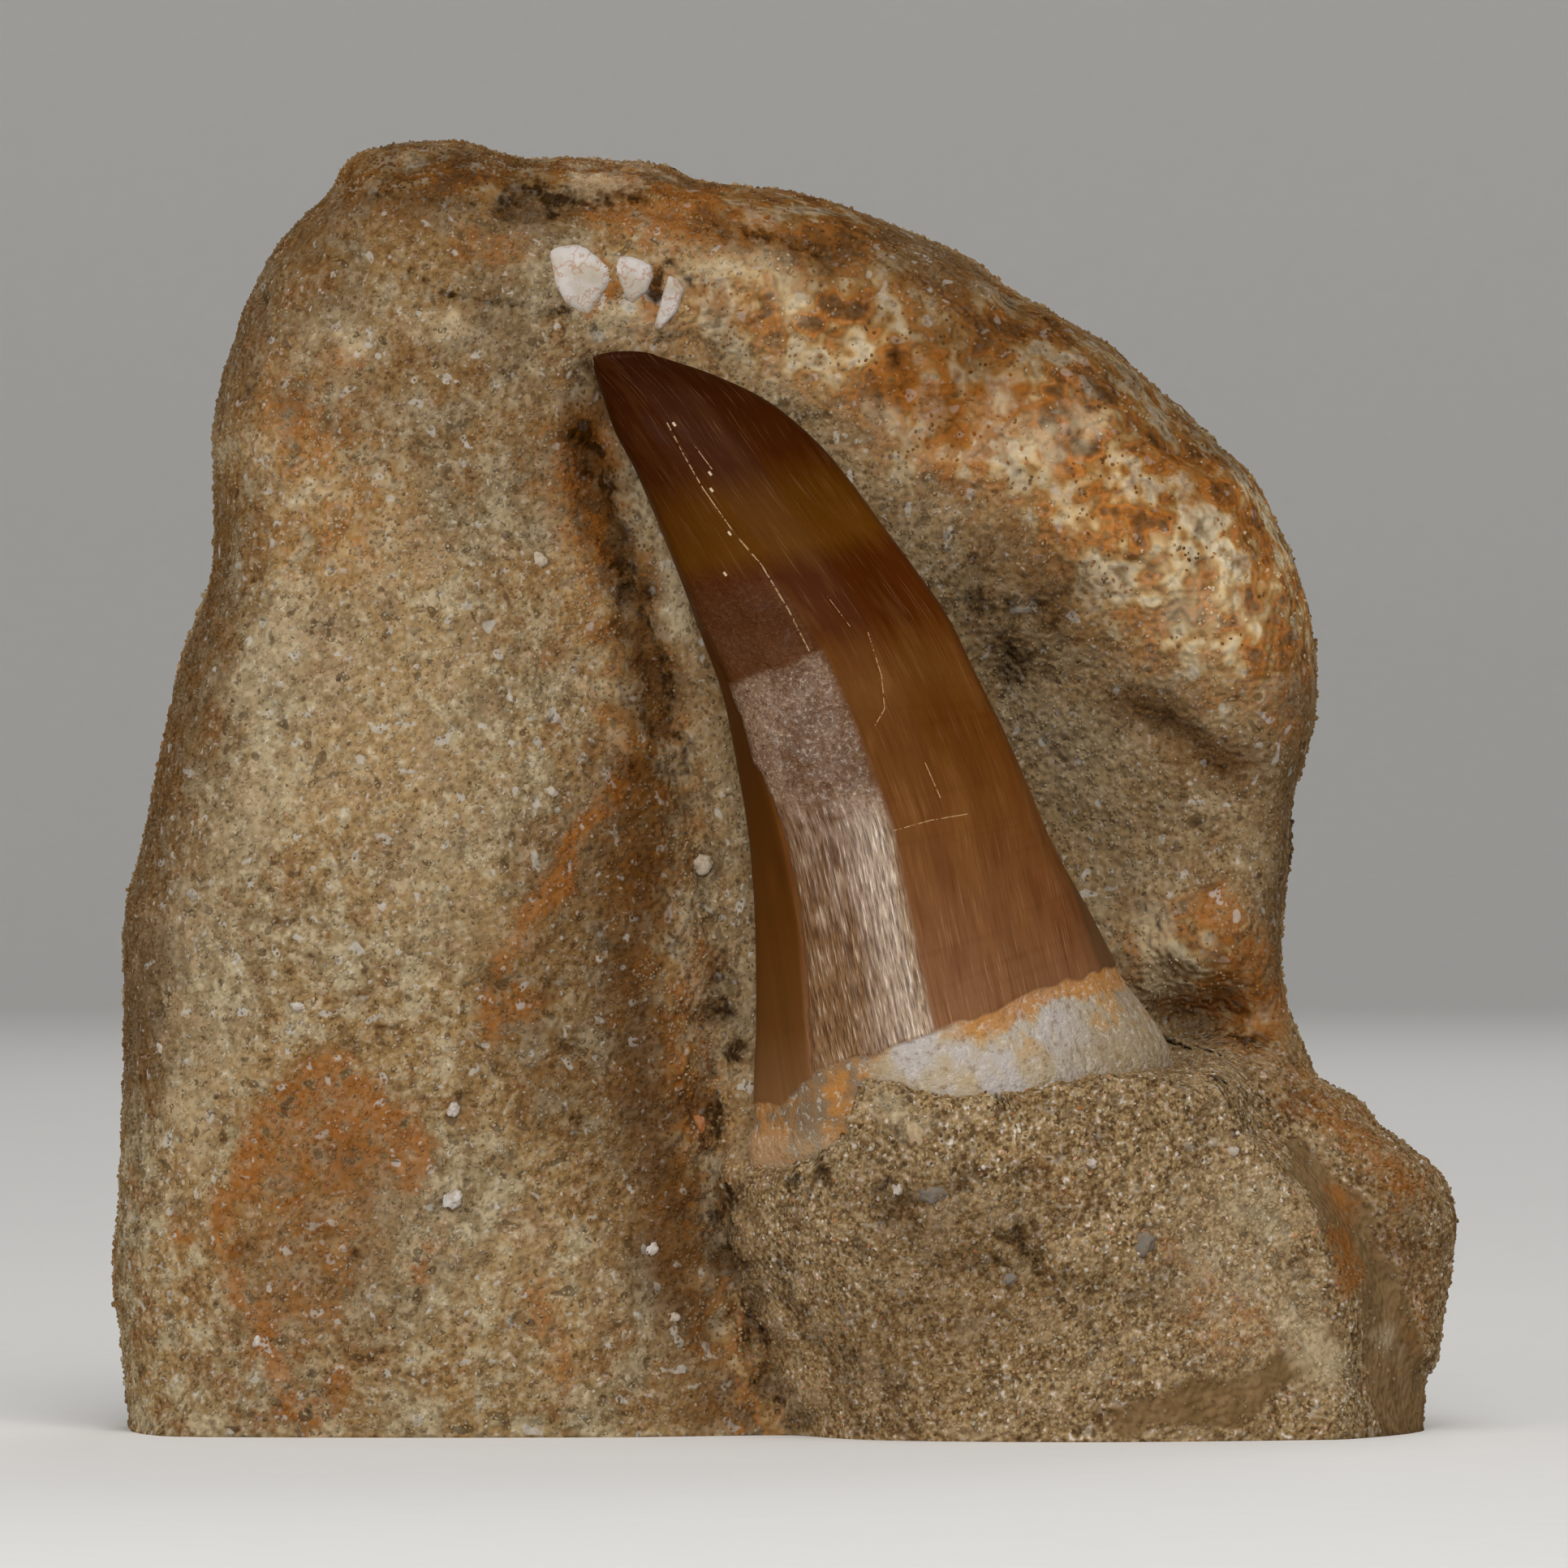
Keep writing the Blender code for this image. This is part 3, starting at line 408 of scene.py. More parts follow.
def back_relief(x, z):
    """Relief of the block's broken back: three blunt faces that meet in soft ridges."""
    faces = (
        BACK_RELIEF + 0.10 * (x + 0.010),
        BACK_RELIEF - 0.0010 - 0.16 * (x - 0.008),
        BACK_RELIEF - 0.0020 + 0.14 * (z - 0.030),
    )
    sharpness = 900.0
    return np.log(sum(np.exp(sharpness * face) for face in faces)) / sharpness


def rim_reach(x, z):
    """How far the outline lies from the heart in the direction of each place, as X and Z."""
    below = ((0.0428, -BELOW_BASE), (0.0, -BELOW_BASE - 0.001), (-0.0438, -BELOW_BASE))
    rim = spline(OUTLINE + below, 12, closed=True)[::-1]
    bearing = np.unwrap(np.arctan2(rim[:, 1] - HEART[1], rim[:, 0] - HEART[0]))
    rim = np.vstack([rim[-1:], rim, rim[:1]])
    bearing = np.concatenate([bearing[-1:] - 2 * math.pi, bearing, bearing[:1] + 2 * math.pi])
    around = bearing[1] + np.mod(np.arctan2(z, x) - bearing[1], 2 * math.pi)
    return [np.interp(around, bearing, rim[:, k]) - HEART[k] for k in (0, 1)]


def profile():
    """The block's round-shouldered cut from front to back: its turn, share of the reach and of the height."""
    turn = np.linspace(0.0, math.pi, PROFILE_STEPS + 1)
    out = np.abs(np.sin(turn)) ** (2 / RIM_SHARPNESS)
    up = np.sign(np.cos(turn)) * np.abs(np.cos(turn)) ** (2 / FACE_SHARPNESS)
    return turn, out, up


def put_on_block(x, z, upward):
    """Points of the block's surface at X and Z; upward is 1 on the front face, 0 at the rim, -1 behind."""
    face = np.where(upward > 0, front_relief(x, z), back_relief(x, z))
    points = np.column_stack([x, -(RIM_RELIEF + (face - RIM_RELIEF) * np.abs(upward)), z])
    heart = np.array((HEART[0], 0.0, HEART[1]))
    for normal, distance in BROKEN_FACES:
        normal = np.array(normal) / np.linalg.norm(normal)
        beyond = np.clip((points - heart) @ normal - distance, 0.0, None)
        points -= BROKEN_SHARE * beyond[:, None] * normal
    behind = smooth_step(0.15, -0.35, upward)
    rough = 0.32 + 0.68 * behind
    points[:, 1] += rough * (0.0011 * noise_at(points, 0.015, 3.0) + 0.0005 * noise_at(points, 0.006, 7.0))
    sideways = 0.0009 * noise_at(points, 0.009, 11.0) * behind
    points[:, 0] += sideways * np.sign(points[:, 0]) * smooth_step(0.0, 0.02, np.abs(points[:, 0]))
    points[:, 2] += sideways
    return points


def block_points(directions, front_share):
    """Places each point of a unit ball on the block; front_share crowds the points towards the front."""
    reach_x, reach_z = rim_reach(directions[:, 0], directions[:, 2])
    turn, out, up = profile()
    half_width, half_depth = 0.042, 0.017
    steps = np.hypot(np.diff(out * half_width), np.diff(up * half_depth))
    steps = steps * np.interp(turn[1:], (0.0, 1.3, 1.9, math.pi), (front_share, front_share, 1.0, 0.8))
    length = np.concatenate([[0.0], np.cumsum(steps)]) / steps.sum()
    down = np.arccos(np.clip(-directions[:, 1], -1.0, 1.0)) / math.pi
    outward, upward = np.interp(down, length, out), np.interp(down, length, up)
    return put_on_block(HEART[0] + reach_x * outward, HEART[1] + reach_z * outward, upward)


def front_point(x, z):
    """Points of the block's front face at X and Z."""
    reach_x, reach_z = rim_reach(x - HEART[0], z - HEART[1])
    outward = np.hypot(x - HEART[0], z - HEART[1]) / np.hypot(reach_x, reach_z)
    _, out, up = profile()
    front = slice(PROFILE_STEPS // 2 + 1)
    return put_on_block(x, z, np.interp(outward, out[front], up[front]))


def regions(points):
    """Share of each region of the block at each point: the lower mass, the slab, the hollow and the rest."""
    x, y, z = points.T
    front = smooth_step(0.0035, -0.0015, y)
    past = smooth_step(-0.0010, 0.0010, x - line_x(FURROW, z))
    mass = front * in_mass(x, z) * past
    past_tip = smooth_step(0.074, 0.080, z)
    left = front * (1 - mass) * (1 - past) * (1 - past_tip) + front * past_tip * (1 - smooth_step(-0.01, 0.0, x))
    return {"mass": mass, "slab": left, "hollow": np.clip(front - mass - left, 0, 1), "rest": 1 - front}


# Meshes


def per_vertex(mesh, what):
    """The places, "co", or the normals, "normal", of a mesh's vertices, a row for each."""
    rows = np.empty(len(mesh.vertices) * 3, np.float32)
    mesh.vertices.foreach_get(what, rows)
    return rows.reshape(-1, 3).astype(float)


def set_coordinates(mesh, points):
    mesh.vertices.foreach_set("co", points.astype(np.float32).ravel())
    mesh.update()


def store(mesh, name, values):
    """Keeps one number for each vertex under a name that materials can read."""
    layer = mesh.attributes.new(name, "FLOAT", "POINT")
    layer.data.foreach_set("value", values.astype(np.float32))


def settled(mesh, name):
    """Turns a bmesh into a smoothly shaded mesh of that name."""
    made = bpy.data.meshes.new(name)
    mesh.to_mesh(made)
    mesh.free()
    made.shade_smooth()
    return made


def rounded(ring, cuts):
    """Cuts the corners of a closed ring, once for each share that the corners keep."""
    for keep in cuts:
        after = np.roll(ring, -1, 0)
        ring = np.stack([keep * ring + (1 - keep) * after, (1 - keep) * ring + keep * after], 1).reshape(-1, 2)
    return ring


def length_along(points):
    """Length of a line of points up to each of them."""
    return np.concatenate([[0.0], np.cumsum(np.linalg.norm(np.diff(points, axis=0), axis=1))])


def show(name, mesh, finish=None):
    made = bpy.data.objects.new(name, mesh)
    bpy.context.scene.collection.objects.link(made)
    if finish:
        mesh.materials.clear()
        mesh.materials.append(finish)
    return made


def join_frame(piece, node_names):
    """Lets a finished piece stand for the solids of those names."""
    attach(piece, "root")
    if node_names:
        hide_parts(*node_names)


def ball(grid):
    """Unit ball of even quads, from a cube whose sides are cut into grid strips."""
    mesh = bmesh.new()
    bmesh.ops.create_cube(mesh, size=2.0)
    bmesh.ops.subdivide_edges(mesh, edges=mesh.edges[:], cuts=grid - 1, use_grid_fill=True)
    for vert in mesh.verts:
        vert.co = [math.tan(c * math.pi / 4) for c in vert.co]
        vert.co.normalize()
    return mesh


def stain_and_shade_map(points):
    """How much of each stain, painted shade and painted light lies at each point of the block, from the strokes on its
    face.
    """
    x, y, z = points.T
    front = smooth_step(0.004, -0.001, y)
    wander = 0.0011 * noise_at(points, 0.0036, 21.0), 0.0011 * noise_at(points, 0.0036, 33.0)
    stains_and_shade = {}
    for kind, strokes in STAINS.items():
        amount = np.zeros(len(x))
        for strength, width, *line in strokes:
            (width,), *line = mm((width,), *line)
            near = np.exp(-(distance_to(line, x + wander[0], z + wander[1]) / width) ** 2)
            amount = amount + strength * near * (1 - amount)
        stains_and_shade[kind] = np.clip(amount, 0, 1) * front
    back = 1 - front
    patches = noise_at(points, 0.011, 44.0)
    stains_and_shade["rust"] += back * smooth_step(0.05, 0.55, patches) * 0.7
    stains_and_shade["dark"] += back * smooth_step(0.15, 0.6, -patches) * 0.5
    stains_and_shade["pale"] += back * smooth_step(0.1, 0.6, noise_at(points, 0.008, 51.0)) * 0.5
    stains_and_shade["umber"] += back * smooth_step(-0.1, 0.5, noise_at(points, 0.014, 57.0)) * 0.6
    stains_and_shade["mottle"] += back * smooth_step(0.1, 0.5, noise_at(points, 0.016, 59.0)) * 0.7
    return stains_and_shade


def block_mesh(grid, front_share, lump, grain):
    """The block in fine quads, cut flat at its base, with lumps and grain pressed into its surface."""
    fine = ball(grid)
    directions = np.array([v.co for v in fine.verts])
    for vert, place in zip(fine.verts, block_points(directions, front_share)):
        vert.co = place
    bmesh.ops.recalc_face_normals(fine, faces=fine.faces[:])
    everything = fine.verts[:] + fine.edges[:] + fine.faces[:]
    bmesh.ops.bisect_plane(fine, geom=everything, plane_co=(0, 0, 0), plane_no=(0, 0, 1), clear_inner=True)
    rim = [e for e in fine.edges if e.is_boundary]
    bmesh.ops.edgeloop_fill(fine, edges=rim)
    mesh = settled(fine, "block")
    points, away = per_vertex(mesh, "co"), per_vertex(mesh, "normal")
    share = regions(points)
    coarse = share["mass"] * 1.25 + share["slab"] * 0.95 + share["hollow"] * 0.95 + share["rest"] * 1.3
    stains_and_shade = stain_and_shade_map(points)
    coarse *= 1 - 0.85 * np.clip(stains_and_shade["clay"], 0, 1)
    rise = coarse * lump * (noise_at(points, 0.0031, 61.0) + 0.7 * noise_at(points, 0.0014, 67.0))
    rise += coarse * grain * (noise_at(points, 0.00062, 71.0) + 0.6 * noise_at(points, 0.00037, 73.0))
    rise -= coarse * 0.00030 * smooth_step(0.42, 0.70, noise_at(points, 0.0021, 79.0))
    x, z = points[:, 0], points[:, 2]
    crease = np.exp(-((x - line_x(FURROW, z) + 0.0006) / 0.0024) ** 2) * (1 - share["rest"]) * (z < 0.073)
    lip = np.exp(-((z - line_z(MASS_TOP, x) + 0.0008) / 0.0016) ** 2) * share["mass"] * (x > 0.0)
    rubble = noise_at(points, 0.0021, 83.0) + 0.6 * noise_at(points, 0.0009, 89.0)
    rise += rubble * (0.00055 * crease + 0.00030 * lip)
    crust = np.clip(stains_and_shade["mottle"], 0, 1)
    rise += crust * (0.00030 * noise_at(points, 0.0028, 97.0) - 0.00035 * np.abs(noise_at(points, 0.0042, 101.0)))
    rise *= smooth_step(0.0, 0.0012, points[:, 2])
    moved = points + away * rise[:, None]
    moved[:, 2] = np.where(points[:, 2] < 1e-6, 0.0, np.clip(moved[:, 2], 0.00002, None))
    set_coordinates(mesh, moved)
    for kind, amount in stains_and_shade.items():
        store(mesh, kind, amount)
    store(mesh, "pit", np.clip(-rise / 0.0003, 0, 1))
    clouds = noise_at(points, 0.011, 103.0) + 0.6 * noise_at(points, 0.0055, 107.0)
    store(mesh, "warm", smooth_step(-0.35, 0.35, clouds))
    clear = smooth_step(0.0004, 0.0008, points[:, 2])
    bare = (1 - np.clip(stains_and_shade["clay"], 0, 1)) * (1 - 0.75 * crust * (1 - share["rest"]))
    bare *= 0.3 + 0.7 * smooth_step(-0.10, -0.50, away[:, 1]) + 0.7 * share["rest"]
    high = smooth_step(0.0405, 0.0415, points[:, 2])
    for region, amount in share.items():
        store(mesh, region, amount)
        store(mesh, "on_" + region, amount * clear * bare)
    store(mesh, "on_slab_low", share["slab"] * clear * (1 - high))
    store(mesh, "on_slab_high", share["slab"] * clear * high)
    return mesh


def tooth_corners(station):
    """Corners of the tooth's section: share across from the left edge, and depth from -1 behind to 1 in front."""
    end = len(TOOTH_EDGES) - 1
    first = np.interp(station, (2, 4, 6, 8, end), (0.155, 0.145, 0.085, 0.03, 0.02))
    second = np.interp(station, (2, 5, 8, 11, end), (0.50, 0.505, 0.44, 0.31, 0.24))
    third = np.interp(station, (2, 4, 6, end), (0.93, 0.955, 0.985, 0.985))
    left_height = 0.62 - 0.12 * smooth_step(6.0, 8.0, station)
    return np.array((
        (0.0, 0.0), (first, left_height), (0.5 * (first + second), 0.855), (second, 1.0),
        (0.5 * (second + third), 0.86), (third, 0.42), (1.0, 0.0), (0.93, -0.62), (0.66, -0.97),
        (0.34, -0.97), (0.07, -0.62),
    ))


def tooth_ring(station, edges, around):
    """One ring of points of the tooth at a station, and the millimetres of each from its two ridges."""
    end = len(TOOTH_EDGES) - 1
    place = np.clip(station, 0, end) * EDGE_STEPS
    row = np.array([np.interp(place, np.arange(len(edges)), edges[:, k]) for k in range(4)])
    left, right = row[:2], row[2:]
    width = np.linalg.norm(right - left)
    level = EDGE_RELIEF_BASE + (EDGE_RELIEF_TIP - EDGE_RELIEF_BASE) * station / end
    front = width * np.interp(station, *zip(*FRONT_PER_WIDTH))
    back = width * np.interp(station, *zip(*BACK_PER_WIDTH))

    def placed(corners):
        flat = left + corners[:, :1] * (right - left)
        height = np.where(corners[:, 1] > 0, corners[:, 1] * front, corners[:, 1] * back) + level
        return np.column_stack([flat[:, 0], -height, flat[:, 1]])

    corners = tooth_corners(station)
    ring = rounded(corners, CORNER_CUTS)
    points = placed(np.vstack([ring, ring[:1]]))
    length = length_along(points)

    def length_at(corner):
        return length[np.argmin(np.linalg.norm(points - placed(corners[corner:corner + 1]), axis=1))]

    spread = np.linspace(0.0, 1.0, around + 1)[:-1]
    spaced = np.interp(spread, (0.0, FRONT_SHARE, 1.0), (0.0, length_at(RIGHT_EDGE), length[-1]))
    made = np.column_stack([np.interp(spaced, length, points[:, k]) for k in range(3)])
    gaps = []
    for corner in (LEFT_RIDGE, MIDDLE_RIDGE):
        gap = spaced - length_at(corner)
        gaps.append(1000 * np.where(gap > length[-1] * 0.7, gap - length[-1], gap))
    return made, gaps


def tooth_mesh(rows, around, cap_rows):
    """The tooth lofted in fine rings up to a rounded tip, with its striae, its worn facet and its bare root."""
    end = len(TOOTH_EDGES) - 1
    edges = spline(TOOTH_EDGES, EDGE_STEPS)
    length = length_along(0.5 * (edges[:, :2] + edges[:, 2:]))
    stations = np.interp(np.linspace(0, length[-1], rows), length, np.linspace(0, end, len(edges)))
    rings, from_ridge, from_left = [], [], []
    for station in stations:
        points, (left_gap, ridge_gap) = tooth_ring(station, edges, around)
        rings.append(points)
        from_left.append(left_gap)
        from_ridge.append(ridge_gap)
    along = list(np.linspace(0, 1000 * length[-1], rows))
    tip = np.array((TOOTH_TIP[0], -EDGE_RELIEF_TIP - TIP_CAP, TOOTH_TIP[1]))
    last = rings[-1]
    centre = last.mean(0)
    for turn in np.linspace(0, math.pi / 2, cap_rows + 1)[1:-1]:
        rings.append(centre + (last - centre) * math.cos(turn) + (tip - centre) * math.sin(turn))
        from_left.append(from_left[rows - 1] * math.cos(turn))
        from_ridge.append(from_ridge[rows - 1] * math.cos(turn))
        along.append(along[rows - 1] + 1000 * TIP_CAP * math.sin(turn))
    count = len(rings)
    points = np.vstack([np.vstack(rings), [rings[0].mean(0)], [tip]])
    foot, top = count * around, count * around + 1
    faces = []
    for j in range(around):
        k = (j + 1) % around
        for i in range(count - 1):
            faces.append((i * around + j, i * around + k, (i + 1) * around + k, (i + 1) * around + j))
        faces.append((k, j, foot))
        faces.append(((count - 1) * around + j, (count - 1) * around + k, top))
    mesh = bpy.data.meshes.new("tooth")
    mesh.from_pydata(points.tolist(), [], faces)
    turned = bmesh.new()
    turned.from_mesh(mesh)
    bmesh.ops.recalc_face_normals(turned, faces=turned.faces[:])
    turned.to_mesh(mesh)
    turned.free()

    ridge = np.concatenate(from_ridge + [[0.0, 0.0]])
    left = np.concatenate(from_left + [[0.0, 0.0]])
    up = np.concatenate([np.repeat(along, around), [0.0, along[-1] + 0.1]])
    places, away = per_vertex(mesh, "co"), per_vertex(mesh, "normal")
    rise = 1000 * (places[:, 2] - line_z(ENAMEL_EDGE, places[:, 0]))
    rise += 0.45 * noise_at(places, 0.004, 31.0) + 0.35 * noise_at(places, 0.0013, 37.0)
    crown = smooth_step(-0.12, 0.12, rise)
    height = places[:, 2]
    reach = 0.9 * smooth_step(0.0440, 0.0458, height) - 0.35 * smooth_step(0.0440, 0.0400, height)
    ragged = 0.30 * noise_at(places, 0.0016, 41.0) + 0.15 * noise_at(places, 0.0006, 47.0)
    facet = smooth_step(0.0, 0.35, left + reach + ragged) * smooth_step(0.25, -0.45, ridge)
    worn_edge = line_z(WORN_TOP, places[:, 0]) + 0.00045 * noise_at(places, 0.0022, 43.0)
    worn = facet * smooth_step(0.00025, -0.00025, height - worn_edge) * crown
    rough = facet * smooth_step(0.0590, 0.0555, height) * smooth_step(0.0370, 0.0430, height)

    strands = np.column_stack([ridge * 0.001, up * 0.00005, 0.0 * up])
    streaks = noise_at(strands, 0.00075, 5.0) + 0.7 * noise_at(strands, 0.0016, 9.0)
    relief = 0.000052 * streaks * smooth_step(26.0, 6.0, rise) * crown
    relief += 0.000040 * rough * (noise_at(places, 0.00095, 13.0) + 0.7 * noise_at(places, 0.00050, 15.0))
    relief -= 0.000050 * worn
    relief += 0.000030 * noise_at(places, 0.0055, 17.0) * crown
    for at_x, at_z in WRINKLES:
        relief -= bump(places[:, 0], height, at_x, at_z, 0.0013, 0.00020, 0.00003, 18.0) * facet
    relief -= bump(places[:, 0], height, *NOTCH, 0.00045, 0.0014, 0.00016, 8.0)
    for (width,), *line in scratch_lines():
        relief -= 0.000035 * np.exp(-(distance_to(line, places[:, 0], height) / (width + 0.00010)) ** 2) * facing(away)
    relief -= 0.00015 * (1 - crown)
    grainy = noise_at(places, 0.0011, 19.0) + noise_at(places, 0.0005, 23.0)
    relief += 0.00004 * grainy * (1 - crown)
    set_coordinates(mesh, places + away * relief[:, None])
    for name, values in (("ridge", ridge), ("left_ridge", left), ("along", up), ("rise", rise),
                         ("worn", worn), ("rough", rough)):
        store(mesh, name, values)
    mesh.shade_smooth()
    return mesh


def scratch_lines():
    """The half width of each scratch, as a row of one, and the places that it runs through."""
    return [mm((width,), *line) for width, *line in SCRATCHES]


def facing(away):
    """1 where the surface looks to the front, 0 where it looks back."""
    return smooth_step(0.0, -0.2, away[:, 1])


def chip_mesh(corners, rings):
    """A flat splinter of bone let into the face, a little domed, with worn edges."""
    ring = rounded(np.array(corners), (0.90, 0.80, 0.75))
    middle = ring.mean(0)
    ragged = 1.02 + 0.05 * noise_at(np.column_stack([ring, ring[:, 0]]), 0.0007, 3.0)
    ring = middle + (ring - middle) * ragged[:, None]
    mesh = bmesh.new()
    layers = []
    for step in range(rings):
        share = math.sin(math.pi / 2 * (step + 1) / rings)
        flat = middle + (ring - middle) * share
        ground = front_point(flat[:, 0], flat[:, 1])
        proud = CHIP_PROUD * (1.0 - share**10)
        layers.append([mesh.verts.new((x, y - proud, z)) for x, y, z in ground])
    ground = front_point(ring[:, 0], ring[:, 1])
    layers.append([mesh.verts.new((x, y + CHIP_DEPTH, z)) for x, y, z in ground])
    centre = front_point(middle[:1], middle[1:])[0]
    face = mesh.verts.new((centre[0], centre[1] - CHIP_PROUD, centre[2]))
    back = mesh.verts.new((centre[0], centre[1] + CHIP_DEPTH, centre[2]))
    count = len(ring)
    for i in range(count):
        j = (i + 1) % count
        mesh.faces.new((layers[0][i], layers[0][j], face))
        mesh.faces.new((layers[-1][j], layers[-1][i], back))
        for inner, outer in zip(layers, layers[1:]):
            mesh.faces.new((inner[j], inner[i], outer[i], outer[j]))
    bmesh.ops.recalc_face_normals(mesh, faces=mesh.faces[:])
    return settled(mesh, "chip")


def pebble_mesh(pebbles):
    """Small worn pebbles half sunk in the face, each turned and squashed in its own way."""
    mesh = bmesh.new()
    tone = mesh.verts.layers.float.new("tone")
    for number, (*lengths, shade) in enumerate(pebbles):
        (x, z, size), = mm(lengths)
        ground = front_point(np.array([x]), np.array([z]))[0]
        made = bmesh.ops.create_icosphere(mesh, subdivisions=3, radius=0.5)["verts"]
        lean = math.radians(37 * number % 180)
        for vert in made:
            shape = vert.co.copy()
            shape *= 1 + 0.55 * noise.noise(shape * 3.6 + Vector((number * 5.0, 0, 0)))
            shape = Vector((shape.x, shape.y * 0.32 + 0.06, shape.z * 0.72))
            c, s = math.cos(lean), math.sin(lean)
            shape = Vector((shape.x * c - shape.z * s, shape.y, shape.x * s + shape.z * c))
            vert.co = Vector(ground) + shape * size * 1.15
            vert[tone] = shade
    return settled(mesh, "pebbles")


# Materials


def tint(red, green, blue):
    """The linear colour, with its alpha, of a display colour from 0 to 255."""
    def linear(value):
        value /= 255
        return value / 12.92 if value <= 0.04045 else ((value + 0.055) / 1.055) ** 2.4
    return (linear(red), linear(green), linear(blue), 1.0)


def feed(tree, socket, value):
    """Links a field or an output to a socket, or sets the socket to a plain value."""
    value = value.socket if isinstance(value, Field) else value
    if isinstance(value, bpy.types.NodeSocket):
        tree.links.new(value, socket)
    else:
        socket.default_value = value


def add_node(tree, kind, settings=None, sockets=None):
    """Adds a node to a tree: its settings first, then the value or link of each socket."""
    made = tree.nodes.new(kind)
    for name, value in (settings or {}).items():
        setattr(made, name, value)
    for name, value in (sockets or {}).items():
        feed(tree, made.inputs[name], value)
    return made


class Field:
    """A number that varies over a surface; sums and products written with it add the nodes that work them out."""

    def __init__(self, finish, socket):
        self.finish, self.socket = finish, socket

    def __add__(self, other):
        return self.finish.maths("ADD", self, other)

    def __sub__(self, other):
        return self.finish.maths("SUBTRACT", self, other)

    def __rsub__(self, other):
        return self.finish.maths("SUBTRACT", other, self)

    def __mul__(self, other):
        return self.finish.maths("MULTIPLY", self, other)

    __radd__, __rmul__ = __add__, __mul__

    def most(self, other):
        return self.finish.maths("MAXIMUM", self, other)

    def step(self, low, high):
        """Rises smoothly from 0 at low to 1 at high, or falls where low is the larger."""
        falls = float(low > high)
        made = self.finish.node("ShaderNodeMapRange", {"interpolation_type": "SMOOTHSTEP"}, {
            "Value": self, "From Min": min(low, high), "From Max": max(low, high),
            "To Min": falls, "To Max": 1.0 - falls,
        })
        return Field(self.finish, made.outputs[0])

    def lump(self, middle, half_width):
        """1 at the middle, falling smoothly to 0 at half_width to either side."""
        away = self.finish.maths("ABSOLUTE", self - middle)
        return away.step(half_width, 0.0)


class Finish:
    """A material whose nodes are added by name; what is the same all over goes straight to the shader."""

    def __init__(self, name, **uniform):
        self.material = bpy.data.materials.new(name)
        self.material.use_nodes = True
        self.tree = self.material.node_tree
        self.shader = self.tree.nodes["Principled BSDF"]
        for socket, value in uniform.items():
            self.shader.inputs[socket.replace("_", " ")].default_value = value
        self.place = self.node("ShaderNodeTexCoord").outputs["Object"]

    def node(self, kind, settings=None, sockets=None):
        return add_node(self.tree, kind, settings, sockets)

    def maths(self, operation, *values):
        made = self.node("ShaderNodeMath", {"operation": operation}, dict(enumerate(values)))
        return Field(self, made.outputs[0])

    def attribute(self, name):
        made = self.node("ShaderNodeAttribute", {"attribute_name": name})
        return Field(self, made.outputs["Fac"])

    def across(self, first, second):
        """A vector from two fields or numbers, flat in Z."""
        return self.node("ShaderNodeCombineXYZ", None, {0: first, 1: second}).outputs[0]

    def noise(self, size, detail=2.0, rough=0.5, where=None):
        """Cloudy noise from 0 to 1, with lumps of that size."""
        made = self.node("ShaderNodeTexNoise", None, {
            "Vector": where or self.place, "Scale": 1.0 / size, "Detail": detail, "Roughness": rough,
        })
        return Field(self, made.outputs[0])

    def ramp(self, value, stops):
        """A colour that runs through the stops, each a place from 0 to 1 and a display colour."""
        made = self.node("ShaderNodeValToRGB", None, {0: value})
        band = made.color_ramp
        while len(band.elements) < len(stops):
            band.elements.new(1.0)
        for element, (place, *shade) in zip(band.elements, stops):
            element.position, element.color = place, tint(*shade)
        return made.outputs["Color"]

    def mix(self, share, first, second):
        """Goes from the first colour to the second as the share rises from 0 to 1."""
        made = self.node("ShaderNodeMix", {"data_type": "RGBA", "clamp_factor": True}, {0: share, 6: first, 7: second})
        return made.outputs[2]

    def over(self, colour, layers):
        """Lays layers over a colour in turn, each a share and a display colour."""
        for share, *shade in layers:
            colour = self.mix(share, colour, tint(*shade))
        return colour

    def bumped(self, height, distance, strength=1.0, onto=None):
        """A normal tilted by a height field whose full range is that distance."""
        sockets = {"Height": height, "Distance": distance, "Strength": strength}
        if onto:
            sockets["Normal"] = onto
        return self.node("ShaderNodeBump", None, sockets).outputs["Normal"]

    def wear(self, **varied):
        for socket, value in varied.items():
            feed(self.tree, self.shader.inputs[socket.replace("_", " ")], value)
        return self.material


def broken_up(amount, ragged):
    """Breaks up a soft stain, painted shade or painted light by the noise that it meets."""
    return (amount * (ragged * 3.6 - 0.9)).step(0.10, 0.85)


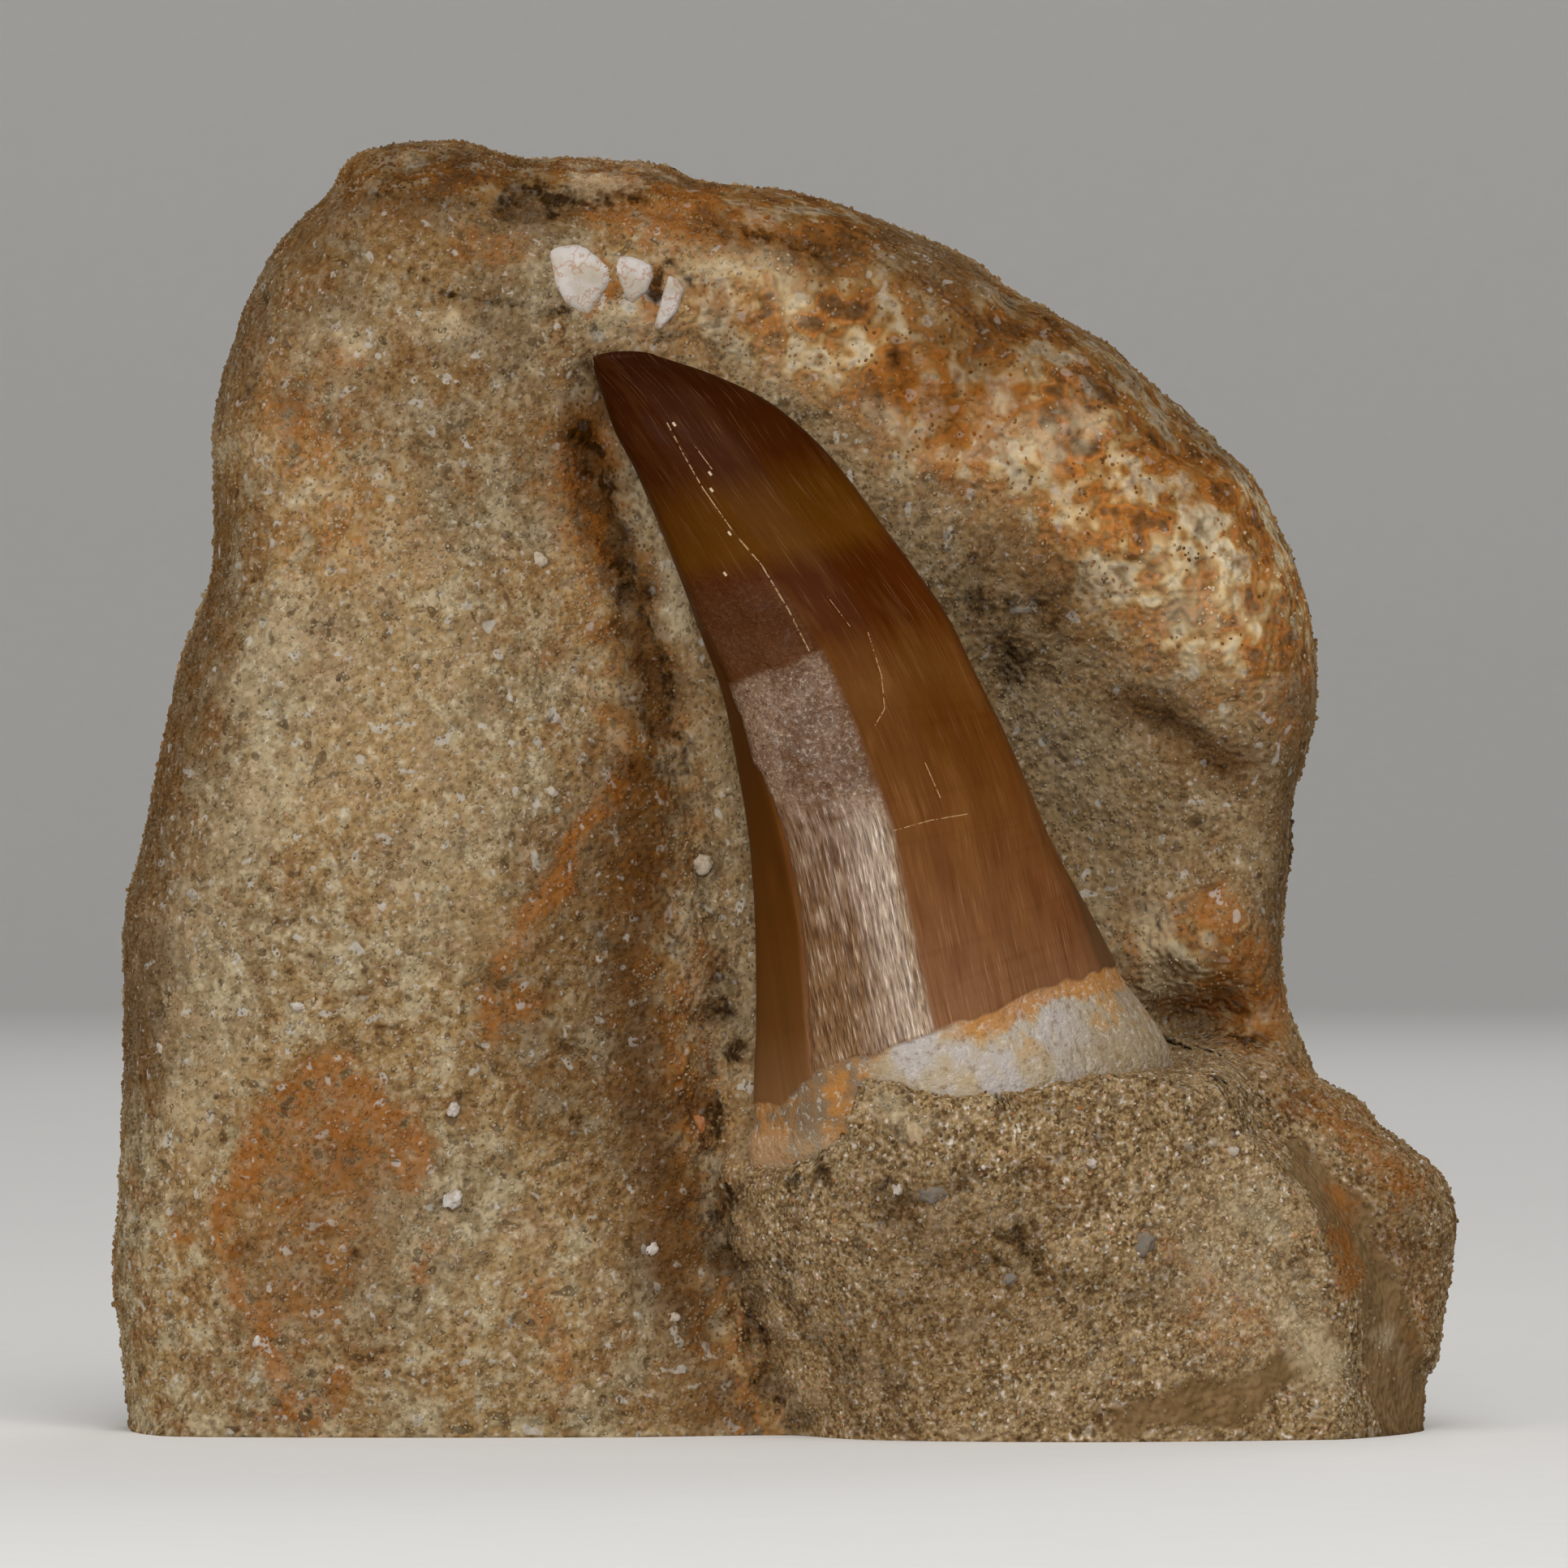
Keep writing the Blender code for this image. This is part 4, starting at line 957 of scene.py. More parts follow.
def sand_finish(name, look, grainy):
    """Sand and sandstone. Loose grains take their tone from their own attribute, bare stone from a fine noise."""
    finish = Finish(name, Roughness=0.9, Specular_IOR_Level=0.0)
    mass, hollow, rest, mottle = (finish.attribute(name) for name in ("mass", "hollow", "rest", "mottle"))
    detail = 0.0 if grainy else 1.0
    medium, fine = finish.noise(0.0026, detail + 1.0, 0.72), finish.noise(0.0009, detail, 0.65)
    ragged = finish.noise(0.0010, detail + 1.0, 0.78)
    crust = medium if grainy else finish.noise(0.0036, 2.0, 0.78)

    ground = finish.mix(finish.attribute("warm"), tuple(look.grey_sand) + (1.0,), tuple(look.warm_sand) + (1.0,))
    ground = finish.over(ground, (
        (medium.step(0.52, 0.62) * 0.80, 122, 85, 48), (medium.step(0.47, 0.37) * 0.85, 173, 159, 129),
        (fine.step(0.54, 0.66) * 0.50, 92, 68, 42), (fine.step(0.46, 0.34) * 0.50, 182, 167, 138),
        (hollow * 0.60, 122, 98, 68), (mass * 0.50, 136, 109, 77),
    ))
    patches = finish.ramp(crust, (
        (0.36, 80, 46, 14), (0.41, 126, 74, 26), (0.455, 186, 112, 42), (0.49, 150, 104, 50),
        (0.525, 178, 136, 82), (0.56, 206, 176, 128), (0.61, 214, 198, 168), (0.68, 166, 142, 108),
    ))
    ground = finish.mix(mottle * 0.92, ground, patches)
    # Umber marks: brown stain, with painted shade on rims, edges, shoulders and grooves
    umber = finish.attribute("umber")
    ground = finish.mix(umber * 0.84, ground, tint(80, 46, 8))
    if grainy:
        tone = finish.attribute("tone")
    else:
        tone = finish.noise(0.00042, 1.0, 0.6).step(0.28, 0.72)
    grain = finish.ramp(tone, (
        (0.00, 56, 40, 24), (0.10, 86, 64, 40), (0.22, 116, 90, 58), (0.45, 142, 116, 79),
        (0.66, 160, 134, 94), (0.80, 178, 156, 118), (0.90, 150, 140, 120),
        (0.955, 208, 200, 186), (0.985, 180, 108, 48), (1.0, 228, 222, 212),
    ))
    contrast = (mass * 0.46 + rest * 0.10 + (0.32 if grainy else 0.24)) * (1.0 - mottle * 0.6)
    colour = finish.mix(contrast * (1.0 - umber * 0.7), ground, grain)
    colour = finish.over(colour, (
        (mass * medium.step(0.53, 0.66) * 0.35, 80, 58, 38), (mass * medium.step(0.46, 0.36) * 0.30, 172, 146, 112),
    ))

    clay = finish.attribute("clay").step(0.35, 0.60)
    colour = finish.mix(clay * (0.55 if grainy else 0.90), colour,
                        finish.mix(medium.step(0.35, 0.65), tint(106, 83, 52), tint(132, 105, 72)))
    rust = broken_up(finish.attribute("rust"), ragged)
    colour = finish.mix(rust * 0.66, colour, tuple(look.rust) + (1.0,))
    # The pale marks, one of them painted light on the valley right of the tooth
    pale = broken_up(finish.attribute("pale"), medium)
    colour = finish.mix(pale * 0.60, colour, tint(190, 173, 140))
    if not grainy:
        spotted = ((1.0 - mass) * 0.6 + 0.4) * (1.0 - mottle * 0.6) * (1.0 - clay * 0.8)
        large, small = finish.noise(0.0010, 0.0), finish.noise(0.00050, 1.0, 0.6)
        colour = finish.over(colour, (
            (large.step(0.72, 0.77) * spotted * 0.64, 178, 173, 164),
            (large.step(0.28, 0.23) * spotted * 0.60, 60, 44, 28),
            (small.step(0.34, 0.29) * spotted * 0.66, 58, 42, 26),
            (small.step(0.68, 0.73) * spotted * 0.60, 178, 172, 160),
        ))
    # Deeper brown where the umber marks lie, stain and painted shade alike
    colour = finish.mix(umber * medium.step(0.62, 0.40) * 0.34, colour, tint(66, 36, 8))
    # Dark marks: stain, with painted shadow in the furrow, the pocket at the right and under the root
    dark = broken_up(finish.attribute("dark"), ragged) * (medium.step(0.40, 0.52) * 0.65 + 0.35)
    colour = finish.over(colour, (
        (dark * 0.90, 34, 18, 2), (finish.attribute("pit") * 0.35, 52, 38, 24),
    ))

    if grainy:
        normal = finish.bumped(finish.noise(0.00022, 0.0), 0.00010, 0.6)
    else:
        rugged = finish.bumped(finish.noise(0.0030, 1.0, 0.80) * (mottle * 0.85 + 0.15), 0.0016, 0.9)
        normal = finish.bumped(finish.noise(0.00050, 0.0), 0.00042, 0.8, rugged)
    return finish.wear(Base_Color=colour, Normal=normal)


def tooth_finish():
    """Brown fossil enamel in cross bands, with a worn middle facet of painted glints and highlight, above a chalky,
    rust-stained root.
    """
    finish = Finish("Fossil enamel and root", Specular_IOR_Level=0.02, Coat_Roughness=0.20)
    ridge, left, along, rise, worn, rough = (
        finish.attribute(name) for name in ("ridge", "left_ridge", "along", "rise", "worn", "rough")
    )
    parted = finish.node("ShaderNodeSeparateXYZ", None, {0: finish.place})
    across, up = Field(finish, parted.outputs[0]), Field(finish, parted.outputs[2])
    cloud = finish.noise(0.006, 2.0)
    strands = finish.noise(1.0, 2.0, 0.62, finish.across(ridge * 2.2, along * 0.10))
    hairs = finish.noise(1.0, 2.0, 0.68, finish.across(ridge * 7.0, along * 0.22))
    band = (up - across * 0.22) * 1000.0 + (cloud - 0.5) * 1.4 + (strands - 0.5) * 2.6

    def at(millimetres):
        return (millimetres - 20.0) / 56.0

    crown = finish.ramp((band - 20.0) * (1 / 56.0), (
        (at(22), 124, 87, 60), (at(27), 116, 78, 50), (at(31), 109, 70, 41),
        (at(35), 105, 66, 33), (at(40), 98, 58, 22), (at(46), 88, 50, 12),
        (at(49), 93, 56, 20), (at(51.5), 86, 49, 14), (at(53.6), 66, 28, 1),
        (at(57.8), 62, 24, 0), (at(59.6), 80, 45, 4), (at(63), 75, 41, 2),
        (at(66), 55, 22, 0), (at(70), 49, 18, 0), (at(74), 40, 12, 0),
    ))
    amber = ridge.step(6.0, 13.0) * up.step(0.030, 0.036) * up.step(0.066, 0.058)
    crown = finish.mix(amber * 0.25, crown, tint(112, 58, 12))
    streaky = finish.noise(1.0, 2.0, 0.6, finish.across(ridge * 0.50, along * 0.13))
    lit = up.step(0.062, 0.050) * 0.8 + 0.2
    crown = finish.over(crown, (
        (streaky.step(0.50, 0.66) * lit * 0.35, 80, 38, 10), (streaky.step(0.47, 0.34) * lit * 0.22, 130, 86, 44),
    ))
    grown = finish.noise(1.0, 1.0, 0.5, finish.across(ridge * 0.07, along * 1.3))
    crown = finish.over(crown, (
        (grown.step(0.50, 0.75) * 0.12, 66, 32, 8), (strands.step(0.55, 0.75) * 0.22, 58, 25, 4),
        (hairs.step(0.56, 0.74) * (rise.step(14.0, 3.0) * 0.20 + 0.13), 172, 130, 92),
        (hairs.step(0.46, 0.32) * 0.22, 44, 20, 4),
    ))

    upper = finish.mix(cloud.step(0.4, 0.6), tint(74, 42, 18), tint(88, 56, 36))
    lower = finish.ramp((up * 1000.0 - 22.0) * (1 / 34.0), (
        (0.02, 132, 100, 68), (0.20, 126, 94, 62), (0.42, 114, 82, 54),
        (0.62, 112, 84, 62), (0.90, 116, 88, 68),
    ))
    crinkle = finish.noise(0.00030, 2.0, 0.74)
    wrinkle = finish.noise(1.0, 2.0, 0.76, finish.across(ridge * 4.6, along * 0.46))
    soil = finish.noise(0.0028, 2.0, 0.64)
    striped = up.step(0.0445, 0.0405)
    # Thin dark lines, painted shade in the enamel's creases
    creased = finish.noise(0.0010, 2.0, 0.70).lump(0.50, 0.036) * (1.0 - striped * 0.8)
    flecks = crinkle * (1.0 - striped) + wrinkle * striped
    beside_ridge = striped * ridge.step(-4.2, -1.6)
    # Painted highlight beside the ridge, lighter and darker patches, and dark flecks of painted shade in the crinkles
    lower = finish.over(lower, (
        (beside_ridge * 0.55, 180, 156, 128), (soil.step(0.44, 0.62) * 0.35, 158, 132, 110),
        (soil.step(0.46, 0.34) * 0.40, 90, 60, 34), (flecks.step(0.50, 0.35) * (striped * 0.36 + 0.36), 60, 33, 10),
    ))
    # Pale flecks are painted glints, brightest beside the ridge; the creases are painted shade
    shine = beside_ridge * 0.34 + striped * 0.22 + 0.30
    lower = finish.over(lower, (
        (flecks.step(0.53, 0.69) * shine, 212, 190, 164), (creased * 0.60, 74, 42, 20),
    ))
    # On the rough zone: painted shade in the creases and faint painted glints
    upper = finish.over(upper, (
        (creased * 0.50, 54, 27, 9), (flecks.step(0.50, 0.68) * 0.24, 128, 92, 66),
    ))
    crown = finish.mix(rough * 0.70, crown, upper)
    crown = finish.mix(worn * 0.90, crown, lower)

    narrow = left.step(0.25, -0.25) * left.step(-9.0, -7.0) * up.step(0.056, 0.048) * (1.0 - worn)
    shade = finish.ramp((up * 1000.0 - 20.0) * (1 / 34.0), (
        (0.05, 116, 82, 50), (0.22, 88, 54, 20), (0.42, 80, 45, 10), (0.9, 64, 34, 8),
    ))
    crown = finish.mix(narrow * 0.90, crown, shade)
    behind = ridge.step(13.2, 14.6) * up.step(0.056, 0.046)
    crown = finish.mix(behind * 0.6, crown, tint(72, 54, 32))

    scored = up * 0.0
    for (width,), *line in scratch_lines():
        for (ax, az), (bx, bz) in zip(line, line[1:]):
            scored = scored.most(scratch(finish, across, up, ax, az, bx, bz, width))
    crown = finish.mix(scored * crinkle.step(0.42, 0.54) * 0.80, crown, tint(184, 152, 114))
    nicked = up * 0.0
    for at_x, at_z in NICKS:
        nicked = nicked.most(scratch(finish, across, up, at_x, at_z, at_x + 0.00014, at_z - 0.00018, 0.00008))
    crown = finish.mix(nicked * 0.9, crown, tint(206, 184, 150))

    root = finish.mix(soil.step(0.36, 0.60), tint(171, 163, 158), tint(166, 150, 124))
    fibres = finish.noise(1.0, 2.0, 0.68, finish.across(ridge * 3.2, along * 0.35))
    root = finish.over(root, (
        (across.step(0.0165, 0.0225) * 0.8, 148, 130, 102),
        (fibres.step(0.50, 0.66) * across.step(0.0120, 0.0200) * 0.35, 122, 98, 66),
    ))
    left_end = across.step(0.0075, 0.0040)
    root = finish.mix(left_end * 0.85, root, finish.mix(soil.step(0.42, 0.56), tint(106, 80, 46), tint(138, 100, 56)))
    speck = finish.noise(0.00055, 2.0, 0.72)
    under = rise.step(-2.8, -0.2) * (across.step(0.0090, 0.0150) * 0.85 + 0.15)
    stain = (under.most(left_end * 0.60) + soil * 1.6 + speck * 0.7 - 1.35).step(0.15, 0.60)
    root = finish.over(root, (
        (stain * 0.80, 166, 112, 54), (left_end * up.step(0.0215, 0.0195) * 0.4, 172, 156, 130),
    ))
    blotch = soil.step(0.50, 0.60) * across.step(0.0100, 0.0140) * rise.step(-5.5, -2.0)
    root = finish.over(root, (
        (blotch * 0.55, 174, 126, 70), (speck.step(0.55, 0.66) * 0.45, 116, 90, 58),
        (speck.step(0.44, 0.34) * 0.35, 206, 198, 184),
    ))

    share = rise.step(-0.14, 0.14)
    colour = finish.mix(share, root, crown)
    edge = rise.lump(-0.20, 0.34) * soil.step(0.46, 0.60) * (across.step(0.0100, 0.0160) * 0.6 + 0.4)
    colour = finish.mix(edge * 0.6, colour, tint(170, 112, 54))

    gloss = 0.34 + strands * 0.10 + worn * 0.04 + rough * 0.14
    bare = 0.78 + soil * 0.12
    roughness = gloss * share + bare * (1.0 - share)
    normal = finish.bumped(hairs * 0.5 + strands * 0.5, 0.00007, 0.6)
    leather = worn.most(rough * 0.7) * flecks
    normal = finish.bumped(leather, 0.00040, 1.0, normal)
    normal = finish.bumped(speck * (1.0 - share), 0.00030, 0.8, normal)
    sheen = (beside_ridge * 0.50 + 0.45) * (flecks.step(0.46, 0.68) * 0.70 + 0.30)
    polish = worn.most(rough * 0.14) * share * sheen + 0.015
    return finish.wear(Base_Color=colour, Roughness=roughness, Coat_Weight=polish, Normal=normal)


def scratch(finish, across, up, ax, az, bx, bz, width):
    """A thin pale line from one place on the front to another, as a field."""
    length = math.hypot(bx - ax, bz - az)
    ux, uz = (bx - ax) / length, (bz - az) / length
    share = across * ux + up * uz - (ax * ux + az * uz)
    off = finish.maths("ABSOLUTE", across * uz - up * ux - (ax * uz - az * ux))
    ends = share.step(-width, 0.0) * share.step(length + width, length)
    return off.step(width * 1.5, width * 0.3) * ends


def bone_finish():
    """Pale, smooth fossil bone with rusty cracks and a lilac cast."""
    finish = Finish("Fossil bone", Specular_IOR_Level=0.4)
    cloud, fine = finish.noise(0.0022, 3.0), finish.noise(0.0005, 3.0, 0.65)
    bone = finish.mix(cloud.step(0.38, 0.62), tint(184, 177, 172), tint(168, 157, 142))
    bone = finish.mix(fine.step(0.55, 0.72) * 0.35, bone, tint(150, 128, 98))
    crack = finish.maths("ABSOLUTE", finish.noise(0.0012, 3.0, 0.6) - 0.5).step(0.030, 0.008)
    bone = finish.mix(crack * 0.5, bone, tint(150, 92, 44))
    return finish.wear(Base_Color=bone, Roughness=0.62 + fine * 0.2, Normal=finish.bumped(fine, 0.00012, 0.6))


def pebble_finish():
    """Small worn pebbles of quartz, bone and dark stone, each in the tone that it carries."""
    finish = Finish("Pebbles", Specular_IOR_Level=0.45)
    fine = finish.noise(0.0004, 3.0, 0.6)
    tone = finish.ramp(finish.attribute("tone"), (
        (0.0, 92, 84, 76), (0.2, 118, 108, 96), (0.7, 150, 84, 36), (0.76, 168, 110, 60),
        (0.9, 166, 144, 110), (0.95, 166, 154, 138), (1.0, 184, 178, 172),
    ))
    colour = finish.mix(fine.step(0.45, 0.6) * 0.5, tone, tint(134, 108, 76))
    return finish.wear(Base_Color=colour, Roughness=0.55 + fine * 0.3, Normal=finish.bumped(fine, 0.0001, 0.5))


def floor_finish(look):
    finish = Finish("Studio paper", Roughness=0.9, Specular_IOR_Level=0.0)
    fibre = finish.noise(0.004, 0.0)
    shade = tuple(look.paper)
    colour = finish.mix(fibre, tuple(0.98 * c for c in shade) + (1.0,), shade + (1.0,))
    return finish.wear(Base_Color=colour)


# Grains


def grain_tree():
    """Geometry Nodes that strew small uneven grains over the part of a surface that an attribute names."""
    tree = bpy.data.node_groups.new("Sand grains", "GeometryNodeTree")
    asks = (
        ("Surface", "NodeSocketGeometry"), ("Region", "NodeSocketString"), ("Density", "NodeSocketFloat"),
        ("Smallest", "NodeSocketFloat"), ("Largest", "NodeSocketFloat"), ("Seed", "NodeSocketInt"),
        ("Finish", "NodeSocketMaterial"),
    )
    for name, kind in asks:
        tree.interface.new_socket(name, in_out="INPUT", socket_type=kind)
    tree.interface.new_socket("Grains", in_out="OUTPUT", socket_type="NodeSocketGeometry")

    def node(kind, settings=None, sockets=None):
        return add_node(tree, kind, settings, sockets)

    size_seed, squash_seed, tone_seed = 11, 23, 37
    given = node("NodeGroupInput").outputs
    share = node("GeometryNodeInputNamedAttribute", {"data_type": "FLOAT"}, {"Name": given["Region"]})
    dense = node("ShaderNodeMath", {"operation": "MULTIPLY"}, {0: share.outputs[0], 1: given["Density"]})
    strewn = node("GeometryNodeDistributePointsOnFaces", None,
                  {"Mesh": given["Surface"], "Density": dense.outputs[0], "Seed": given["Seed"]})
    grain = node("GeometryNodeMeshIcoSphere", None, {"Radius": 0.5, "Subdivisions": 1})
    turn = node("FunctionNodeRandomValue", {"data_type": "FLOAT_VECTOR"},
                {0: (0.0, 0.0, 0.0), 1: (2 * math.pi,) * 3, "Seed": given["Seed"]})
    size = node("FunctionNodeRandomValue", {"data_type": "FLOAT"},
                {2: given["Smallest"], 3: given["Largest"], "Seed": size_seed})
    squash = node("FunctionNodeRandomValue", {"data_type": "FLOAT_VECTOR"},
                  {0: (0.85, 0.55, 0.45), 1: (1.25, 1.0, 0.8), "Seed": squash_seed})
    scale = node("ShaderNodeVectorMath", {"operation": "SCALE"}, {0: squash.outputs[0], "Scale": size.outputs[1]})
    placed = node("GeometryNodeInstanceOnPoints", None, {
        "Points": strewn.outputs["Points"], "Instance": grain.outputs["Mesh"],
        "Rotation": turn.outputs[0], "Scale": scale.outputs[0],
    })
    tone = node("FunctionNodeRandomValue", {"data_type": "FLOAT"}, {2: 0.0, 3: 1.0, "Seed": tone_seed})
    toned = node("GeometryNodeStoreNamedAttribute", {"data_type": "FLOAT", "domain": "INSTANCE"},
                 {"Geometry": placed.outputs[0], "Name": "tone", "Value": tone.outputs[1]})
    solid = node("GeometryNodeRealizeInstances", None, {"Geometry": toned.outputs[0]})
    dressed = node("GeometryNodeSetMaterial", None, {"Geometry": solid.outputs[0], "Material": given["Finish"]})
    node("NodeGroupOutput", None, {"Grains": dressed.outputs[0]})
    return tree


def strew(tree, ground, name, settings):
    """Runs the grain tree over a mesh and keeps what it makes as a plain mesh object."""
    carrier = bpy.data.objects.new(name + "_carrier", ground)
    bpy.context.scene.collection.objects.link(carrier)
    modifier = carrier.modifiers.new("Sand grains", "NODES")
    modifier.node_group = tree
    sockets = {item.name: item.identifier for item in tree.interface.items_tree if item.in_out == "INPUT"}
    for key, value in settings.items():
        modifier[sockets[key]] = value
    bpy.context.view_layer.update()
    evaluated = carrier.evaluated_get(bpy.context.evaluated_depsgraph_get())
    mesh = bpy.data.meshes.new_from_object(evaluated)
    carrier.modifiers.remove(modifier)
    bpy.data.objects.remove(carrier)
    if not mesh.polygons:
        raise RuntimeError(f"{name} has no grains")
    mesh.name = name
    return show(name, mesh)


# What a user may change


def number_of(name, about, value, low, high, **kind):
    return bpy.props.FloatProperty(name=name, description=about, default=value, min=low, max=high, **kind)


def length_of(name, about, value, high):
    return number_of(name, about, value, 0.0, high, subtype="DISTANCE", unit="LENGTH", precision=5)


def power_of(name, about, value):
    return number_of(name, about, value, 0.0, 500.0, subtype="POWER", unit="POWER")


def count_of(name, about, value, low, high):
    return bpy.props.IntProperty(name=name, description=about, default=value, min=low, max=high)


def colour_of(name, about, red, green, blue):
    return bpy.props.FloatVectorProperty(name=name, description=about, size=3, subtype="COLOR", min=0.0, max=1.0,
                                         default=tint(red, green, blue)[:3])


class StoneLook(bpy.types.PropertyGroup):
    strips: count_of("Strips", "Mesh strips along each side of the block", 128, 16, 160)
    front_share: number_of("Front share", "How much finer the front is than the back", 1.6, 1.0, 3.0)
    lump: length_of("Lumps", "Height of the low lumps all over the stone", 0.00016, 0.002)
    grain: length_of("Grain", "Height of the grain of the bare stone", 0.00007, 0.001)
    grey_sand: colour_of("Grey sand", "Colour of the greyer patches", 132, 115, 86)
    warm_sand: colour_of("Warm sand", "Colour of the warmer patches", 146, 117, 76)
    rust: colour_of("Rust", "Colour of the iron stains", 142, 84, 28)


class SandLook(bpy.types.PropertyGroup):
    per_area: number_of("Grains per square millimetre", "How densely the grains lie", 9.0, 0.1, 14.0)
    smallest: length_of("Smallest grain", "Size of the finest grains", 0.00022, 0.002)
    largest: length_of("Largest grain", "Size of the coarsest grains", 0.00044, 0.002)
    seed: count_of("Seed", "Another number strews the grains anew", 4, 0, 1000)


class ToothLook(bpy.types.PropertyGroup):
    rows: count_of("Rows", "Mesh rows from root to tip", 300, 20, 400)
    around: count_of("Around", "Mesh strips round the tooth", 300, 20, 400)


class StudioLook(bpy.types.PropertyGroup):
    front_power: power_of("Front light", "Power of the large soft light in front", 12.8)
    side_power: power_of("Side light", "Power of the small light at the left", 8.0)
    top_power: power_of("Top light", "Power of the light above", 6.0)
    back_power: power_of("Back light", "Power of the soft light behind", 4.0)
    surround: number_of("Surround", "Strength of the light from all round", 0.15, 0.0, 2.0)
    paper: colour_of("Paper", "Colour of the floor and backdrop", 238, 237, 235)
    camera_distance: length_of("Camera distance", "How far the camera stands from the stone", 1.0, 5.0)


# Operators


class FOSSIL_OT_stone(bpy.types.Operator):
    """Make the block of sandstone, with its stains"""
    bl_idname = "fossil.stone"
    bl_label = "Stone block"

    def execute(self, context):
        look = context.scene.fossil_stone
        mesh = block_mesh(look.strips, look.front_share, look.lump, look.grain)
        block = show("sandstone_block", mesh, sand_finish("Sandstone", look, grainy=False))
        join_frame(block, ["stone_matrix"])
        return {"FINISHED"}


class FOSSIL_OT_sand(bpy.types.Operator):
    """Strew sand grains over the block, one piece for each part of it"""
    bl_idname = "fossil.sand"
    bl_label = "Sand grains"

    def execute(self, context):
        look = context.scene.fossil_sand
        block = bpy.data.objects["sandstone_block"]
        ground = block.data
        finish = sand_finish("Sand", context.scene.fossil_stone, grainy=True)
        tree = grain_tree()
        beds = (
            ("sand_mound", "on_mass", 0.80, 1.00), ("sand_slab_low", "on_slab_low", 0.62, 0.90),
            ("sand_slab_high", "on_slab_high", 0.62, 0.90), ("sand_hollow", "on_hollow", 0.55, 0.85),
            ("sand_behind", "on_rest", 0.14, 1.35),
        )
        for number, (name, region, dense, coarse) in enumerate(beds):
            made = strew(tree, ground, name, {
                "Region": region, "Density": look.per_area * dense * 1e6, "Smallest": look.smallest * coarse,
                "Largest": look.largest * coarse, "Seed": look.seed + number, "Finish": finish,
            })
            join_frame(made, [])
        return {"FINISHED"}


class FOSSIL_OT_tooth(bpy.types.Operator):
    """Make the tooth, with its facets, striae, scratches and root"""
    bl_idname = "fossil.tooth"
    bl_label = "Tooth"

    def execute(self, context):
        look = context.scene.fossil_tooth
        mesh = tooth_mesh(look.rows, look.around, cap_rows=6)
        join_frame(show("fossil_tooth", mesh, tooth_finish()), ["tooth"])
        return {"FINISHED"}


class FOSSIL_OT_chips(bpy.types.Operator):
    """Make the three pale bone chips above the tip, and the loose pebbles in the face"""
    bl_idname = "fossil.chips"
    bl_label = "Bone chips and pebbles"

    def execute(self, context):
        finish = bone_finish()
        for name, corners in CHIP_CORNERS.items():
            join_frame(show(name + "_dressed", chip_mesh(corners, rings=7), finish), [name])
        join_frame(show("pebbles", pebble_mesh(PEBBLES), pebble_finish()), [])
        return {"FINISHED"}


class FOSSIL_OT_studio(bpy.types.Operator):
    """Set up the camera, the paper backdrop and the soft lights"""
    bl_idname = "fossil.studio"
    bl_label = "Studio"

    def execute(self, context):
        look = context.scene.fossil_studio
        place_camera(look)
        floor = show("studio_floor", backdrop_mesh(), floor_finish(look))
        light_studio(look)
        return {"FINISHED"}


def place_camera(look):
    """The photo's view: level, straight on, with the whole frame 106 mm across where the block stands."""
    middle_height, frame_width = 0.0438, 0.10626
    data = bpy.data.cameras.new("Camera")
    data.sensor_width = 36.0
    data.lens = data.sensor_width * look.camera_distance / frame_width
    data.clip_start, data.clip_end = 0.05, 20.0
    camera = bpy.data.objects.new("Camera", data)
    camera.location = (0.0, -look.camera_distance, middle_height)
    camera.rotation_euler = (math.pi / 2, 0.0, 0.0)
    bpy.context.scene.collection.objects.link(camera)
    bpy.context.scene.camera = camera


def backdrop_mesh():
    """A round sheet of paper that is flat under the fossil and sweeps up all round it."""
    flat, sweep, around = 1.9, 0.6, 96
    rings = [(r, 0.0) for r in (0.1, 0.3, 0.6, 1.0, 1.4, flat)]
    rings += [(flat + sweep * math.sin(t), sweep * (1 - math.cos(t))) for t in np.linspace(0, math.pi / 2, 17)[1:]]
    rings.append((flat + sweep, 1.6))
    mesh = bmesh.new()
    centre = mesh.verts.new((0, 0, 0))
    layers = []
    for radius, height in rings:
        layers.append([mesh.verts.new((radius * math.cos(a), radius * math.sin(a), height))
                       for a in np.linspace(0, 2 * math.pi, around + 1)[:-1]])
    for i in range(around):
        j = (i + 1) % around
        mesh.faces.new((centre, layers[0][i], layers[0][j]))
        for inner, outer in zip(layers, layers[1:]):
            mesh.faces.new((inner[i], outer[i], outer[j], inner[j]))
    return settled(mesh, "backdrop")


